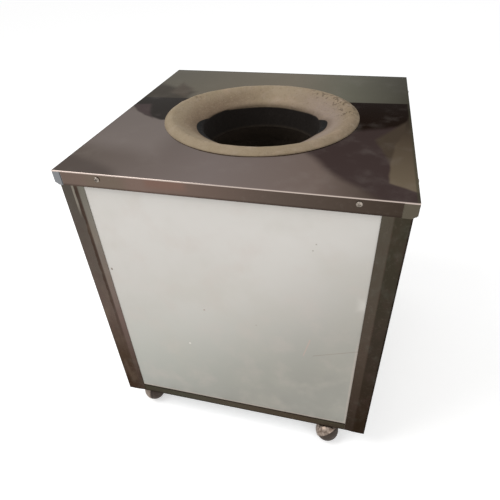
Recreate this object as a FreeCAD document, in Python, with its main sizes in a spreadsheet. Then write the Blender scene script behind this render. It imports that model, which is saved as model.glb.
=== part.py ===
"""Electric tandoor: a square steel cabinet on hooded ball castors, round a clay pot heated from below.

Frame: millimetres, +Z up, the front faces -Y, and the origin is on the floor under the middle of the plan.
"""
import FreeCAD, Part
import math
import os
import Sketcher

Vector = FreeCAD.Vector
Rotation = FreeCAD.Rotation

# Driving dimensions, in millimetres and degrees
SIZES = {
    # overall cabinet
    "cover_width": 610.0,
    "cover_overhang": 5.0,
    "cabinet_height": 633.0,
    "castor_height": 60.0,
    # top cover: a folded tray with lapped corner tabs
    "cover_sheet": 1.2,
    "skirt_height": 28.0,
    "tab_width_left": 15.0,
    "tab_width_right": 22.0,
    "tab_clip": 6.0,
    "tab_clip_span": 36.0,
    "tab_sheet": 0.8,
    "cover_bend": 2.0,
    "cover_top_bend": 1.5,
    "mouth_hole_radius": 195.5,
    "cover_screw_inset": 86.0,
    "cover_screw_drop": 11.0,
    "cover_screw_radius": 2.4,
    "cover_screw_length": 7.0,
    "cover_screw_head_radius": 5.0,
    "cover_screw_head_height": 3.0,
    "screw_clearance": 0.3,
    "thread_clearance": 0.05,
    # angle ring under the cover
    "ring_width": 30.0,
    "ring_drop": 22.0,
    "ring_thickness": 2.5,
    "ring_clearance": 0.3,
    # corner trims
    "trim_sheet": 1.0,
    "trim_width": 45.6,
    "trim_flat": 25.0,
    "trim_lip": 6.0,
    "trim_rise": 1.2,
    "trim_bend": 2.5,
    # panels, bottom rails and base pan
    "panel_sheet": 1.0,
    "panel_top_gap": 0.5,
    "corner_gap": 0.3,
    "rail_sheet": 1.0,
    "rail_height": 23.8,
    "rail_return": 10.0,
    "pan_sheet": 1.5,
    "pan_slot_length": 90.0,
    "pan_slot_width": 8.0,
    "pan_slot_pitch": 26.0,
    # welded angle frame
    "angle_width": 30.0,
    "angle_thickness": 3.0,
    "bearer_offset": 130.0,
    "gusset_width": 46.0,
    # drum and insulation
    "drum_gap": 21.8,
    "drum_sheet": 1.2,
    "drum_floor_thickness": 2.0,
    "floor_board_thickness": 40.0,
    "cover_board_thickness": 35.5,
    "cover_board_gap": 0.3,
    "board_clearance": 1.5,
    "fill_clearance": 0.5,
    # hearth and clay pot
    "hearth_radius": 195.0,
    "hearth_thickness": 40.0,
    "pot_base_radius": 150.0,
    "pot_belly_radius": 200.0,
    "pot_belly_height": 206.0,
    "pot_wall": 25.0,
    # mouth collar
    "collar_radius": 204.5,
    "collar_rise": 11.5,
    "collar_edge": 4.0,
    "collar_crest_inset": 13.0,
    "collar_depth": 75.0,
    "throat_radius": 124.5,
    "throat_drop": 20.0,
    "collar_neck_drop": 12.0,
    "collar_clearance": 1.0,
    "collar_round": 5.0,
    "throat_round": 16.0,
    # heating element
    "element_radius": 4.25,
    "element_outer_loop": 120.0,
    "element_inner_loop": 75.0,
    "element_height": 14.0,
    "element_start_angle": 30.0,
    "element_sweep_angle": 310.0,
    "element_bend": 16.0,
    "element_tail": 12.0,
    "leg_clearance": 1.5,
    "bush_radius": 9.0,
    "bush_length": 20.0,
    "bush_below": 6.0,
    "bush_clearance": 0.3,
    "clip_width": 12.0,
    "clip_length": 20.0,
    "clip_sheet": 1.5,
    "clip_post": 3.6,
    "clip_cradle": 11.3,
    "clip_angle": 100.0,
    # control station on the rear
    "control_inset": 102.0,
    "control_z": 500.0,
    "plate_width": 92.0,
    "plate_height": 176.0,
    "plate_sheet": 1.2,
    "plate_corner": 4.0,
    "window_width": 64.0,
    "window_height": 150.0,
    "box_width": 72.0,
    "box_height": 168.0,
    "box_depth": 56.0,
    "box_sheet": 1.0,
    "plate_screw_inset": 6.0,
    "plate_screw_radius": 1.75,
    "plate_screw_length": 6.0,
    "plate_screw_head_radius": 3.4,
    "plate_screw_head_height": 2.2,
    "knob_drop": -45.0,
    "knob_radius": 21.0,
    "knob_skirt": 4.0,
    "knob_height": 18.0,
    "knob_grip_radius": 15.0,
    "knob_gap": 0.6,
    "knob_bevel": 1.5,
    "knob_rib_rise": 1.2,
    "knob_end_gap": 0.5,
    "knob_bore_depth": 12.0,
    "knob_rib_width": 5.0,
    "knob_flute_radius": 2.2,
    "knob_flute_count": 14.0,
    "knob_flute_depth": 1.3,
    "knob_skirt_land": 1.6,
    "knob_rib_back": 3.0,
    "knob_rib_front": 12.75,
    "thermostat_width": 46.0,
    "thermostat_depth": 32.0,
    "thermostat_corner": 3.0,
    "thermostat_bush_radius": 5.0,
    "thermostat_bush_height": 5.0,
    "thermostat_nut_radius": 7.5,
    "thermostat_nut_height": 2.5,
    "spindle_radius": 3.0,
    "spindle_fit": 0.05,
    "spindle_sunk": 8.0,
    "bulb_radius": 3.5,
    "bulb_length": 90.0,
    "bulb_gap": 0.3,
    "capillary_radius": 1.0,
    "capillary_bend": 12.0,
    "grommet_radius": 3.0,
    "lamp_drop": 8.0,
    "lamp_offset": 20.0,
    "lamp_lens_radius": 6.5,
    "lamp_body_radius": 5.0,
    "lamp_body_length": 26.0,
    "lamp_flange": 1.5,
    "lamp_rim": 1.0,
    "lamp_dome_rise": 3.3,
    "switch_drop": 52.0,
    "switch_width": 31.0,
    "switch_height": 23.0,
    "switch_bezel": 2.0,
    "switch_body_depth": 24.0,
    "switch_step": 2.0,
    "rocker_radius": 9.0,
    "rocker_width": 16.0,
    "rocker_gap": 0.4,
    "rocker_proud": 0.6,
    "rocker_dip": 1.0,
    "rocker_foot": 7.2,
    "rocker_depth": 5.4,
    "rocker_belly": 10.8,
    "rocker_pin_radius": 1.5,
    "rocker_pin_length": 1.6,
    "rocker_pin_end_gap": 0.3,
    "rocker_tilt": 8.0,
    # cable inlet, terminals and earth
    "gland_z": 160.0,
    "gland_bore_radius": 4.5,
    "gland_thread_radius": 9.0,
    "gland_hex": 24.0,
    "gland_cap_length": 14.0,
    "gland_hex_length": 6.3,
    "gland_dome_inset": 1.0,
    "gland_dome_shoulder": 3.5,
    "gland_lip": 1.2,
    "gland_nut_length": 5.0,
    "gland_inner_length": 9.0,
    "gland_fit": 0.3,
    "terminal_width": 52.0,
    "terminal_height": 22.0,
    "terminal_depth": 18.0,
    "terminal_z": 230.0,
    "terminal_well_radius": 2.75,
    "terminal_well_depth": 7.2,
    "stud_radius": 3.0,
    "stud_length": 20.0,
    "stud_z": 300.0,
    "stud_nut": 5.5,
    "stud_nut_height": 4.4,
    # hooded ball castors
    "castor_side_inset": 73.0,
    "castor_front_inset": 30.0,
    "castor_angle_front_left": 2.0,
    "castor_angle_front_right": 55.0,
    "castor_angle_rear_right": -70.0,
    "castor_angle_rear_left": 150.0,
    "castor_trail": 20.0,
    "castor_tilt": 45.0,
    "castor_plate_width": 36.0,
    "castor_plate_thickness": 2.5,
    "castor_plate_corner": 4.0,
    "castor_bolt_offset": 13.0,
    "castor_bolt_radius": 2.5,
    "castor_bolt_head_radius": 4.2,
    "castor_bolt_head_height": 2.2,
    "castor_nut_height": 4.0,
    "castor_bolt_tail": 2.0,
    "kingpin_radius": 5.0,
    "kingpin_length": 22.0,
    "kingpin_fit": 0.05,
    "kingpin_end_gap": 0.5,
    "castor_gap": 0.3,
    "boss_radius": 12.0,
    "hood_radius": 28.0,
    "hood_wall": 2.5,
    "hood_split": 0.5,
    "hub_radius": 9.0,
    "axle_radius": 4.0,
    "axle_fit": 0.05,
    "axle_press": 0.02,
    "axle_depth": 14.0,
    "axle_head_radius": 6.5,
    "axle_head_height": 1.5,
    "wheel_radius": 26.5,
    "wheel_cap": 24.5,
    "wheel_recess_radius": 8.0,
    "wheel_recess_depth": 3.0,
    "wheel_hollow_inner": 9.0,
    "wheel_hollow_outer": 21.0,
    "wheel_hollow_depth": 10.0,
    "wheel_hollow_draft": 2.0,
}

# Shares of a screw head's own size
SCREW_BRIM = 0.45
SCREW_CROWN = 0.55
SCREW_CROSS_REACH = 0.5
SCREW_CROSS_WIDTH = 0.12

# How near two measures lie when they count as the same
NEAR = 0.001
# Straight steps that make up each bow of the pot's wall
WALL_STEPS = 5
CLIPS_PER_LOOP = 3

CORNERS = ("front_left", "front_right", "rear_right", "rear_left")
SIDES = ("front", "right", "rear", "left")

document = FreeCAD.newDocument("ElectricTandoor")
sheet = document.addObject("Spreadsheet::Sheet", "Sizes")
for row, (alias, number) in enumerate(SIZES.items(), start=1):
    sheet.set("A%d" % row, alias)
    sheet.set("B%d" % row, str(number))
    sheet.setAlias("B%d" % row, alias)
document.recompute()


class Size:
    """A length or angle together with the sheet expression that it comes from."""

    def __init__(self, value, text):
        self.value = value
        self.text = text

    def __add__(self, other):
        other = as_size(other)
        return Size(self.value + other.value, "(%s + %s)" % (self.text, other.text))

    def __sub__(self, other):
        other = as_size(other)
        return Size(self.value - other.value, "(%s - %s)" % (self.text, other.text))

    def __mul__(self, other):
        other = as_size(other)
        return Size(self.value * other.value, "(%s * %s)" % (self.text, other.text))

    def __truediv__(self, other):
        other = as_size(other)
        return Size(self.value / other.value, "(%s / %s)" % (self.text, other.text))

    def __neg__(self):
        return Size(-self.value, "(0 - %s)" % self.text)

    __radd__ = __add__


def as_size(thing):
    """A Size unchanged, or a plain number as one."""
    if isinstance(thing, Size):
        return thing
    return Size(float(thing), "(%.6f)" % thing)


def named(alias):
    """The size that the sheet holds under this alias."""
    return Size(float(sheet.get(alias)), "Sizes.%s" % alias)


def root_of(square):
    return Size(math.sqrt(square.value), "sqrt(%s)" % square.text)


def sine(angle):
    angle = as_size(angle)
    return Size(math.sin(math.radians(angle.value)), "sin(%s)" % angle.text)


def cosine(angle):
    angle = as_size(angle)
    return Size(math.cos(math.radians(angle.value)), "cos(%s)" % angle.text)


def bind(target, name, size):
    """Tie one property of an object to the sheet."""
    target.setExpression(name, as_size(size).text)


def new_body(label):
    body = document.addObject("PartDesign::Body", label)
    body.Label = label
    return body


def new_sketch(body, plane, height=0.0):
    """A sketch on one of the body's own origin planes, moved along that plane's normal by height."""
    sketch = body.newObject("Sketcher::SketchObject", "%s_sketch" % body.Name)
    origin_plane = [item for item in body.Origin.OriginFeatures if item.Role == plane][0]
    sketch.AttachmentSupport = (origin_plane, "")
    sketch.MapMode = "FlatFace"
    bind(sketch, "AttachmentOffset.Base.z", height)
    return sketch


def dimension(sketch, kind, edge, point, size):
    """Hold one end of an edge at a distance from the sketch's origin."""
    size = as_size(size)
    number = sketch.addConstraint(Sketcher.Constraint(kind, -1, 1, edge, point, size.value))
    sketch.setExpression("Constraints[%d]" % number, size.text)


def arc_middle(start, end, radius):
    """The middle of the short arc from start to end; a positive radius bows to the left of the way there."""
    chord = end - start
    half = chord.Length / 2
    rise = abs(radius) - math.sqrt(radius * radius - half * half)
    left = Vector(-chord.y, chord.x, 0).normalize()
    return (start + end) * 0.5 + left * math.copysign(rise, radius)


def draw_loop(sketch, corners, arcs=None):
    """A closed outline through the corners; arcs gives a signed radius to the edges that are bowed."""
    arcs = arcs or {}
    points = [(as_size(across), as_size(up)) for across, up in corners]
    first = sketch.GeometryCount
    count = len(points)
    for index, (across, up) in enumerate(points):
        start = Vector(across.value, up.value, 0)
        after = points[(index + 1) % count]
        end = Vector(after[0].value, after[1].value, 0)
        if index in arcs:
            middle = arc_middle(start, end, arcs[index].value)
            sketch.addGeometry(Part.Arc(start, middle, end))
        else:
            sketch.addGeometry(Part.LineSegment(start, end))
    ends = []
    for index in range(count):
        bowed_right = index in arcs and arcs[index].value > 0
        ends.append((2, 1) if bowed_right else (1, 2))
    for index in range(count):
        after = (index + 1) % count
        sketch.addConstraint(Sketcher.Constraint(
            "Coincident", first + index, ends[index][1], first + after, ends[after][0]))
    for index, (across, up) in enumerate(points):
        dimension(sketch, "DistanceX", first + index, ends[index][0], across)
        dimension(sketch, "DistanceY", first + index, ends[index][0], up)
    for index, radius in arcs.items():
        number = sketch.addConstraint(Sketcher.Constraint("Radius", first + index, abs(radius.value)))
        sketch.setExpression("Constraints[%d]" % number, "abs(%s)" % radius.text)


def draw_rectangle(sketch, left, bottom, right, top):
    draw_loop(sketch, [(left, bottom), (right, bottom), (right, top), (left, top)])


def draw_square(sketch, across, up, half):
    draw_rectangle(sketch, across - half, up - half, across + half, up + half)


def draw_hexagon(sketch, corner_radius):
    """A hexagon round the sketch's origin."""
    draw_loop(sketch, [(cosine(60 * k) * corner_radius, sine(60 * k) * corner_radius) for k in range(6)])


def draw_circle(sketch, across, up, radius):
    across, up, radius = as_size(across), as_size(up), as_size(radius)
    edge = sketch.addGeometry(Part.Circle(Vector(across.value, up.value, 0), Vector(0, 0, 1), radius.value))
    dimension(sketch, "DistanceX", edge, 3, across)
    dimension(sketch, "DistanceY", edge, 3, up)
    number = sketch.addConstraint(Sketcher.Constraint("Radius", edge, radius.value))
    sketch.setExpression("Constraints[%d]" % number, radius.text)


def pad(body, sketch, length, both_ways=False, reverse=False):
    feature = body.newObject("PartDesign::Pad", "%s_pad" % body.Name)
    feature.Profile = sketch
    bind(feature, "Length", length)
    feature.Midplane = both_ways
    feature.Reversed = reverse
    document.recompute()
    return feature


def pocket(body, sketch, length, both_ways=False, reverse=False):
    """Cut a sketch into its body, and make sure that it removes something."""
    before = body.Shape.Volume
    feature = body.newObject("PartDesign::Pocket", "%s_pocket" % body.Name)
    feature.Profile = sketch
    bind(feature, "Length", length)
    feature.Midplane = both_ways
    feature.Reversed = reverse
    document.recompute()
    if body.Shape.Volume > before - NEAR:
        raise RuntimeError("%s: a pocket removes nothing" % body.Label)
    return feature


def revolve(body, sketch, feature_type="PartDesign::Revolution"):
    """Turn a sketch on XZ_Plane a full turn about its upright axis."""
    feature = body.newObject(feature_type, "%s_turned" % body.Name)
    feature.Profile = sketch
    feature.ReferenceAxis = (sketch, ["V_Axis"])
    feature.Angle = 360
    document.recompute()
    return feature


def round_edges(body, radius, chosen):
    """Fillet the edges of the body's last feature that the test chooses."""
    base = body.Tip
    names = ["Edge%d" % (index + 1) for index, edge in enumerate(base.Shape.Edges) if chosen(edge)]
    if not names:
        raise RuntimeError("%s: no edge to round" % body.Label)
    feature = body.newObject("PartDesign::Fillet", "%s_fillet" % body.Name)
    feature.Base = (base, names)
    bind(feature, "Radius", radius)
    document.recompute()
    return feature


def is_upright(edge):
    if edge.Curve.TypeId != "Part::GeomLine":
        return False
    return abs(edge.tangentAt(edge.FirstParameter).z) > 1 - NEAR


def is_ring_at(edge, radius, height):
    """Whether the edge is a full circle of this radius at this height."""
    if edge.Curve.TypeId != "Part::GeomCircle":
        return False
    return abs(edge.Curve.Radius - radius.value) < NEAR and abs(edge.Curve.Center.z - height.value) < NEAR


def put(item, across, along, up, rotation=None):
    """Place an object: its three coordinates are bound to the sheet and its turn is fixed."""
    item.Placement = FreeCAD.Placement(Vector(0, 0, 0), rotation or Rotation())
    bind(item, "Placement.Base.x", across)
    bind(item, "Placement.Base.y", along)
    bind(item, "Placement.Base.z", up)


def group(label, pattern, places):
    """One node of separate copies of a hidden pattern, each at a place and turn of its own."""
    copies = []
    for number, (across, along, up, rotation) in enumerate(places):
        copy = document.addObject("App::Link", "%s_%d" % (label, number + 1))
        copy.LinkedObject = pattern
        copy.LinkTransform = False
        put(copy, across, along, up, rotation)
        copies.append(copy)
    compound = document.addObject("Part::Compound", label)
    compound.Label = label
    compound.Links = copies
    return compound


NODES = {}


def keep(node):
    """Count a finished object as one sub-part, exported under its own label."""
    NODES[node.Label] = node
    return node


# Levels and faces that several pieces share
cover_half = named("cover_width") / 2
cabinet_half = cover_half - named("cover_overhang")
underside = named("castor_height")
cover_top = underside + named("cabinet_height")
cover_under = cover_top - named("cover_sheet")
skirt_bottom = cover_top - named("skirt_height")
post_top = cover_under - named("ring_thickness")
panel_face = cabinet_half - named("trim_sheet") - named("trim_rise")
frame_face = panel_face - named("panel_sheet")
drum_radius = frame_face - named("drum_gap")
control_across = cabinet_half - named("control_inset")
screw_aside = cover_half - named("cover_screw_inset")
pan_bottom = underside + named("rail_sheet")
frame_bottom = pan_bottom + named("pan_sheet")
drum_floor_bottom = frame_bottom + named("angle_width")
drum_bottom = drum_floor_bottom + named("drum_floor_thickness")
hearth_bottom = drum_bottom + named("floor_board_thickness")
hearth_top = hearth_bottom + named("hearth_thickness")
pot_top = cover_top - named("collar_depth")
cover_board_top = cover_under - named("cover_board_gap")
cover_board_bottom = cover_board_top - named("cover_board_thickness")
screw_height = cover_top - named("cover_screw_drop")
skirt_face_side = cover_half
skirt_face_front = cover_half - named("tab_sheet")
plate_face = panel_face + named("plate_sheet")
REAR_FACING = Rotation(Vector(0, 1, 1), 180)


def square_turn(number):
    return Rotation(Vector(0, 0, 1), 90 * number)


def make_top_cover():
    """Folded stainless tray: skirt all round, side skirts lapped round the corners as welded tabs."""
    body = new_body("top_cover")
    outline = new_sketch(body, "XY_Plane", skirt_bottom)
    draw_square(outline, as_size(0), as_size(0), cover_half)
    pad(body, outline, named("skirt_height"))
    round_edges(body, named("cover_bend"), lambda edge: is_upright(edge))
    top = cover_top.value
    round_edges(body, named("cover_top_bend"),
                lambda edge: min(vertex.Point.z for vertex in edge.Vertexes) > top - NEAR)
    step = named("tab_sheet")
    recess = new_sketch(body, "XY_Plane", skirt_bottom)
    for sign in (1, -1):
        near, far = cover_half - step, cover_half + step
        draw_rectangle(recess, named("tab_width_left") - cover_half, near * sign,
                       cover_half - named("tab_width_right"), far * sign)
    pocket(body, recess, named("skirt_height") - named("cover_bend"), reverse=True)
    inside = new_sketch(body, "XY_Plane", skirt_bottom)
    inner_side = skirt_face_side - named("cover_sheet")
    inner_front = skirt_face_front - named("cover_sheet")
    draw_rectangle(inside, -inner_side, -inner_front, inner_side, inner_front)
    pocket(body, inside, named("skirt_height") - named("cover_sheet"), reverse=True)
    mouth = new_sketch(body, "XY_Plane", skirt_bottom)
    draw_circle(mouth, 0, 0, named("mouth_hole_radius"))
    pocket(body, mouth, named("skirt_height"), reverse=True)
    corner, clip = cover_half * math.sqrt(2), named("tab_clip")
    for turn in (45, -45):
        clips = new_sketch(body, "XZ_Plane")
        clips.AttachmentOffset = FreeCAD.Placement(Vector(0, 0, 0), Rotation(Vector(0, 1, 0), turn))
        for sign in (-1, 1):
            draw_loop(clips, [((corner - clip) * sign, skirt_bottom), ((corner + clip) * sign, skirt_bottom),
                              ((corner + clip) * sign, skirt_bottom + clip * 2)])
        pocket(body, clips, named("tab_clip_span"), both_ways=True)
    cut_screw_holes(body, named("cover_screw_radius") + named("screw_clearance"))
    return keep(body)


def cut_screw_holes(body, radius):
    """Two cover-screw holes through each of the four upright walls of a square ring."""
    for plane in ("XZ_Plane", "YZ_Plane"):
        holes = new_sketch(body, plane)
        for sign in (-1, 1):
            draw_circle(holes, screw_aside * sign, screw_height, radius)
        pocket(body, holes, named("cover_width") + radius, both_ways=True)


def make_top_ring():
    """Welded ring of angle that caps the posts and carries the cover."""
    body = new_body("top_ring")
    side = skirt_face_side - named("cover_sheet") - named("ring_clearance")
    front = skirt_face_front - named("cover_sheet") - named("ring_clearance")
    bottom = post_top - named("ring_drop")
    outline = new_sketch(body, "XY_Plane", bottom)
    draw_rectangle(outline, -side, -front, side, front)
    pad(body, outline, cover_under - bottom)
    thick = named("ring_thickness")
    hollow = new_sketch(body, "XY_Plane", bottom)
    draw_rectangle(hollow, thick - side, thick - front, side - thick, front - thick)
    pocket(body, hollow, named("ring_drop"), reverse=True)
    opening = new_sketch(body, "XY_Plane", bottom)
    wide = named("ring_width")
    draw_rectangle(opening, wide - side, wide - front, side - wide, front - wide)
    pocket(body, opening, cover_under - bottom, reverse=True)
    cut_screw_holes(body, named("cover_screw_radius") + named("thread_clearance"))
    return keep(body)


def make_screw(label, radius, length, head_radius, head_height):
    """Pan-head screw with a cross recess: its seat is at z = 0 and its head points to +Z."""
    body = new_body(label)
    profile = new_sketch(body, "XZ_Plane")
    brim = head_height * SCREW_BRIM
    draw_loop(profile,
              [(0, -length), (radius, -length), (radius, 0), (head_radius, 0), (head_radius, brim),
               (head_radius * SCREW_CROWN, head_height), (0, head_height)],
              {4: -head_radius})
    revolve(body, profile)
    cross = new_sketch(body, "XY_Plane", head_height)
    arm, half = head_radius * SCREW_CROSS_REACH, head_radius * SCREW_CROSS_WIDTH
    draw_loop(cross, [(-arm, -half), (-half, -half), (-half, -arm), (half, -arm), (half, -half), (arm, -half),
                      (arm, half), (half, half), (half, arm), (-half, arm), (-half, half), (-arm, half)])
    pocket(body, cross, head_height * SCREW_CROSS_REACH)
    return body


def make_cover_screws():
    pattern = make_screw("cover_screw_pattern", named("cover_screw_radius"), named("cover_screw_length"),
                         named("cover_screw_head_radius"), named("cover_screw_head_height"))
    face_outward = Rotation(Vector(1, 0, 0), 90)
    places = []
    for number in range(4):
        turn = square_turn(number).multiply(face_outward)
        for sign in (-1, 1):
            aside = screw_aside * sign
            spots = ((aside, -skirt_face_front), (skirt_face_side, aside),
                     (aside, skirt_face_front), (-skirt_face_side, aside))
            places.append((*spots[number], screw_height, turn))
    return keep(group("cover_screws", pattern, places))


def make_corner_trims():
    """Four folded corner strips: a flat band at the corner, a slope, and a lip that lies on the panel."""
    edge = cabinet_half
    sheet_thickness = named("trim_sheet")
    rise = named("trim_rise")
    flat = named("trim_flat")
    slope_end = named("trim_width") - named("trim_lip")
    width = named("trim_width")
    steps_out = [(flat, 0), (slope_end, rise), (width, rise)]
    steps_in = [(width, rise + sheet_thickness), (slope_end, rise + sheet_thickness), (flat, sheet_thickness)]
    front_leg = [(-edge + along, -edge + deep) for along, deep in steps_out + steps_in]
    side_leg = [(-edge + deep, -edge + along) for along, deep in reversed(steps_out + steps_in)]
    inner_corner = (-edge + sheet_thickness, -edge + sheet_thickness)
    corners = [(-edge, -edge)] + front_leg + [inner_corner] + side_leg
    inner_x = inner_corner[0].value
    outer_x = -edge.value
    for number, name in enumerate(CORNERS):
        body = new_body("corner_trim_%s" % name)
        outline = new_sketch(body, "XY_Plane", underside)
        draw_loop(outline, corners)
        pad(body, outline, post_top - named("panel_top_gap") - underside)

        def at_corner(edge_, place):
            point = edge_.Vertexes[0].Point
            return is_upright(edge_) and abs(point.x - place) < NEAR and abs(point.y - place) < NEAR

        round_edges(body, named("trim_bend"), lambda edge_: at_corner(edge_, outer_x))
        round_edges(body, named("trim_bend") - sheet_thickness, lambda edge_: at_corner(edge_, inner_x))
        body.Placement = FreeCAD.Placement(Vector(0, 0, 0), square_turn(number))
        keep(body)


def make_panels():
    """Four sheet panels; the rear one has the control window and the cable inlet's hole."""
    bottom = pan_bottom
    top = post_top - named("panel_top_gap")
    reach = frame_face - named("corner_gap")
    for number, side in enumerate(SIDES):
        body = new_body("%s_panel" % side)
        outline = new_sketch(body, "XZ_Plane", frame_face)
        draw_rectangle(outline, -reach, bottom, reach, top)
        for sign in (-1, 1):
            draw_circle(outline, screw_aside * sign, screw_height,
                        named("cover_screw_radius") + named("screw_clearance"))
        if side == "rear":
            across, up = -control_across, named("control_z")
            half_width, half_height = named("window_width") / 2, named("window_height") / 2
            draw_rectangle(outline, across - half_width, up - half_height,
                           across + half_width, up + half_height)
            draw_circle(outline, across, named("gland_z"), named("gland_thread_radius") + named("gland_fit"))
            inset = named("plate_screw_inset")
            for left in (-1, 1):
                for low in (-1, 1):
                    draw_circle(outline, across + (named("plate_width") / 2 - inset) * left,
                                up + (named("plate_height") / 2 - inset) * low,
                                named("plate_screw_radius") + named("thread_clearance"))
        pad(body, outline, named("panel_sheet"))
        body.Placement = FreeCAD.Placement(Vector(0, 0, 0), square_turn(number))
        keep(body)


def make_bottom_rails():
    """Folded strips along the foot of each panel, turned in under it, between the corner trims."""
    face = panel_face + named("rail_sheet")
    thick = named("rail_sheet")
    reach = cabinet_half - named("trim_width") - named("corner_gap")
    for number, side in enumerate(SIDES):
        body = new_body("bottom_rail_%s" % side)
        outline = new_sketch(body, "YZ_Plane")
        rail_top, lip = underside + named("rail_height"), named("rail_return") - face
        draw_loop(outline, [(-face, underside), (lip, underside), (lip, underside + thick),
                            (thick - face, underside + thick), (thick - face, rail_top), (-face, rail_top)])
        pad(body, outline, reach * 2, both_ways=True)
        body.Placement = FreeCAD.Placement(Vector(0, 0, 0), square_turn(number))
        keep(body)


def castor_places():
    """Each castor's name and the place of its swivel axis in plan."""
    across, along = cabinet_half - named("castor_side_inset"), cabinet_half - named("castor_front_inset")
    places = []
    for name in CORNERS:
        places.append((name, -across if "left" in name else across, -along if "front" in name else along))
    return places


def draw_castor_holes(sketch, radius):
    for _, across, along in castor_places():
        for left in (-1, 1):
            for low in (-1, 1):
                draw_circle(sketch, across + named("castor_bolt_offset") * left,
                            along + named("castor_bolt_offset") * low, radius)


def make_base_pan():
    """Sheet floor of the cabinet, with a bank of cooling slots and the castor bolt holes."""
    body = new_body("base_pan")
    outline = new_sketch(body, "XY_Plane", pan_bottom)
    draw_square(outline, as_size(0), as_size(0), frame_face - named("corner_gap"))
    draw_castor_holes(outline, named("castor_bolt_radius") + named("screw_clearance"))
    half_length, half_width = named("pan_slot_length") / 2, named("pan_slot_width") / 2
    for number in (-2, -1, 0, 1, 2):
        along = named("pan_slot_pitch") * number
        draw_loop(outline, [(-half_length, along - half_width), (half_length, along - half_width),
                            (half_length, along + half_width), (-half_length, along + half_width)])
    pad(body, outline, named("pan_sheet"))
    return keep(body)


def make_angle_frame():
    """Welded angle frame: bottom ring, four posts, two bearers under the drum and the castor gussets."""
    body = new_body("angle_frame")
    face = frame_face - named("corner_gap")
    wide, thick = named("angle_width"), named("angle_thickness")
    upright = new_sketch(body, "XY_Plane", frame_bottom)
    draw_square(upright, as_size(0), as_size(0), face)
    draw_square(upright, as_size(0), as_size(0), face - thick)
    pad(body, upright, wide)
    level = new_sketch(body, "XY_Plane", frame_bottom)
    draw_square(level, as_size(0), as_size(0), face - thick / 2)
    draw_square(level, as_size(0), as_size(0), face - wide)
    pad(body, level, thick)
    for _, middle, along in castor_places():
        gusset = new_sketch(body, "XY_Plane", frame_bottom)
        half = named("gusset_width") / 2
        side = 1 if along.value > 0 else -1
        draw_rectangle(gusset, middle - half, along - half * side, middle + half, (face - thick / 2) * side)
        pad(body, gusset, thick)
    posts = new_sketch(body, "XY_Plane", frame_bottom)
    for across in (-1, 1):
        for along in (-1, 1):
            draw_loop(posts, [(face * across, face * along), ((face - wide) * across, face * along),
                              ((face - wide) * across, (face - thick) * along),
                              ((face - thick) * across, (face - thick) * along),
                              ((face - thick) * across, (face - wide) * along),
                              (face * across, (face - wide) * along)])
    pad(body, posts, post_top - frame_bottom)
    bearers = new_sketch(body, "YZ_Plane")
    bottom, top = frame_bottom + thick / 2, frame_bottom + wide
    for sign in (-1, 1):
        web = named("bearer_offset") * sign
        draw_loop(bearers, [(web, bottom), (web + thick * sign, bottom), (web + thick * sign, top - thick),
                            (web + wide * sign, top - thick), (web + wide * sign, top), (web, top)])
    pad(body, bearers, (face - thick / 2) * 2, both_ways=True)
    holes = new_sketch(body, "XY_Plane", frame_bottom)
    draw_castor_holes(holes, named("castor_bolt_radius") + named("screw_clearance"))
    pocket(body, holes, thick, reverse=True)
    return keep(body)


def leg_turn(loop):
    """Angle at which a leg's bend joins its loop."""
    return named("element_start_angle") + named("element_bend") / loop * math.degrees(1)


def leg_points():
    """Where the two legs of the element go down, as places in plan."""
    bend = named("element_bend")
    places = []
    for loop in (named("element_outer_loop"), named("element_inner_loop")):
        first = leg_turn(loop)
        places.append((cosine(first) * loop + sine(first) * bend, sine(first) * loop - cosine(first) * bend))
    return places


def make_disc(label, radius, bottom, thickness, leg_hole):
    body = new_body(label)
    outline = new_sketch(body, "XY_Plane", bottom)
    draw_circle(outline, 0, 0, radius)
    for across, along in leg_points():
        draw_circle(outline, across, along, leg_hole)
    pad(body, outline, thickness)
    return keep(body)


def make_drum():
    """Steel shell round the insulation, its floor, and the boards above and below."""
    radius, sheet_thickness = drum_radius, named("drum_sheet")
    body = new_body("drum_shell")
    outline = new_sketch(body, "XY_Plane", drum_bottom)
    draw_circle(outline, 0, 0, radius)
    draw_circle(outline, 0, 0, radius - sheet_thickness)
    pad(body, outline, cover_board_bottom - drum_bottom)
    keep(body)
    bush_hole = named("bush_radius") + named("bush_clearance")
    make_disc("drum_floor", radius, drum_floor_bottom, named("drum_floor_thickness"), bush_hole)
    inside = radius - sheet_thickness - named("fill_clearance")
    make_disc("floor_board", inside, drum_bottom, named("floor_board_thickness"), bush_hole)
    make_disc("hearth", named("hearth_radius"), hearth_bottom, named("hearth_thickness"),
              named("element_radius") + named("leg_clearance"))
    board = new_body("cover_board")
    ring = new_sketch(board, "XY_Plane", cover_board_bottom)
    draw_circle(ring, 0, 0, skirt_face_front - named("cover_sheet") - named("ring_clearance")
                - named("ring_width") - named("board_clearance"))
    draw_circle(ring, 0, 0, named("mouth_hole_radius") + named("fill_clearance"))
    pad(board, ring, named("cover_board_thickness"))
    keep(board)


def belly_arc(end_radius, rise):
    """Radius of the arc that leaves the belly upright and ends at a narrower radius, a rise away."""
    narrowing = named("pot_belly_radius") - end_radius
    return (narrowing * narrowing + rise * rise) / (narrowing * 2)


belly_height = hearth_top + named("pot_belly_height")
upper_arc = belly_arc(named("throat_radius"), pot_top - belly_height)
lower_arc = belly_arc(named("pot_base_radius"), belly_height - hearth_top)


def pot_radius_at(arc, rise, offset):
    """Radius of the pot's wall, moved out by offset, at a rise from its belly."""
    swept = arc + offset
    return named("pot_belly_radius") - arc + root_of(swept * swept - rise * rise)


def wall_steps(arc, rise, offset, upward):
    """Corners along one bow of the pot's wall, moved out by offset, from just off the belly to its end."""
    steps = []
    for number in range(1, WALL_STEPS + 1):
        climb = rise * number / WALL_STEPS
        steps.append((pot_radius_at(arc, climb, offset), belly_height + climb * upward))
    return steps


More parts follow.
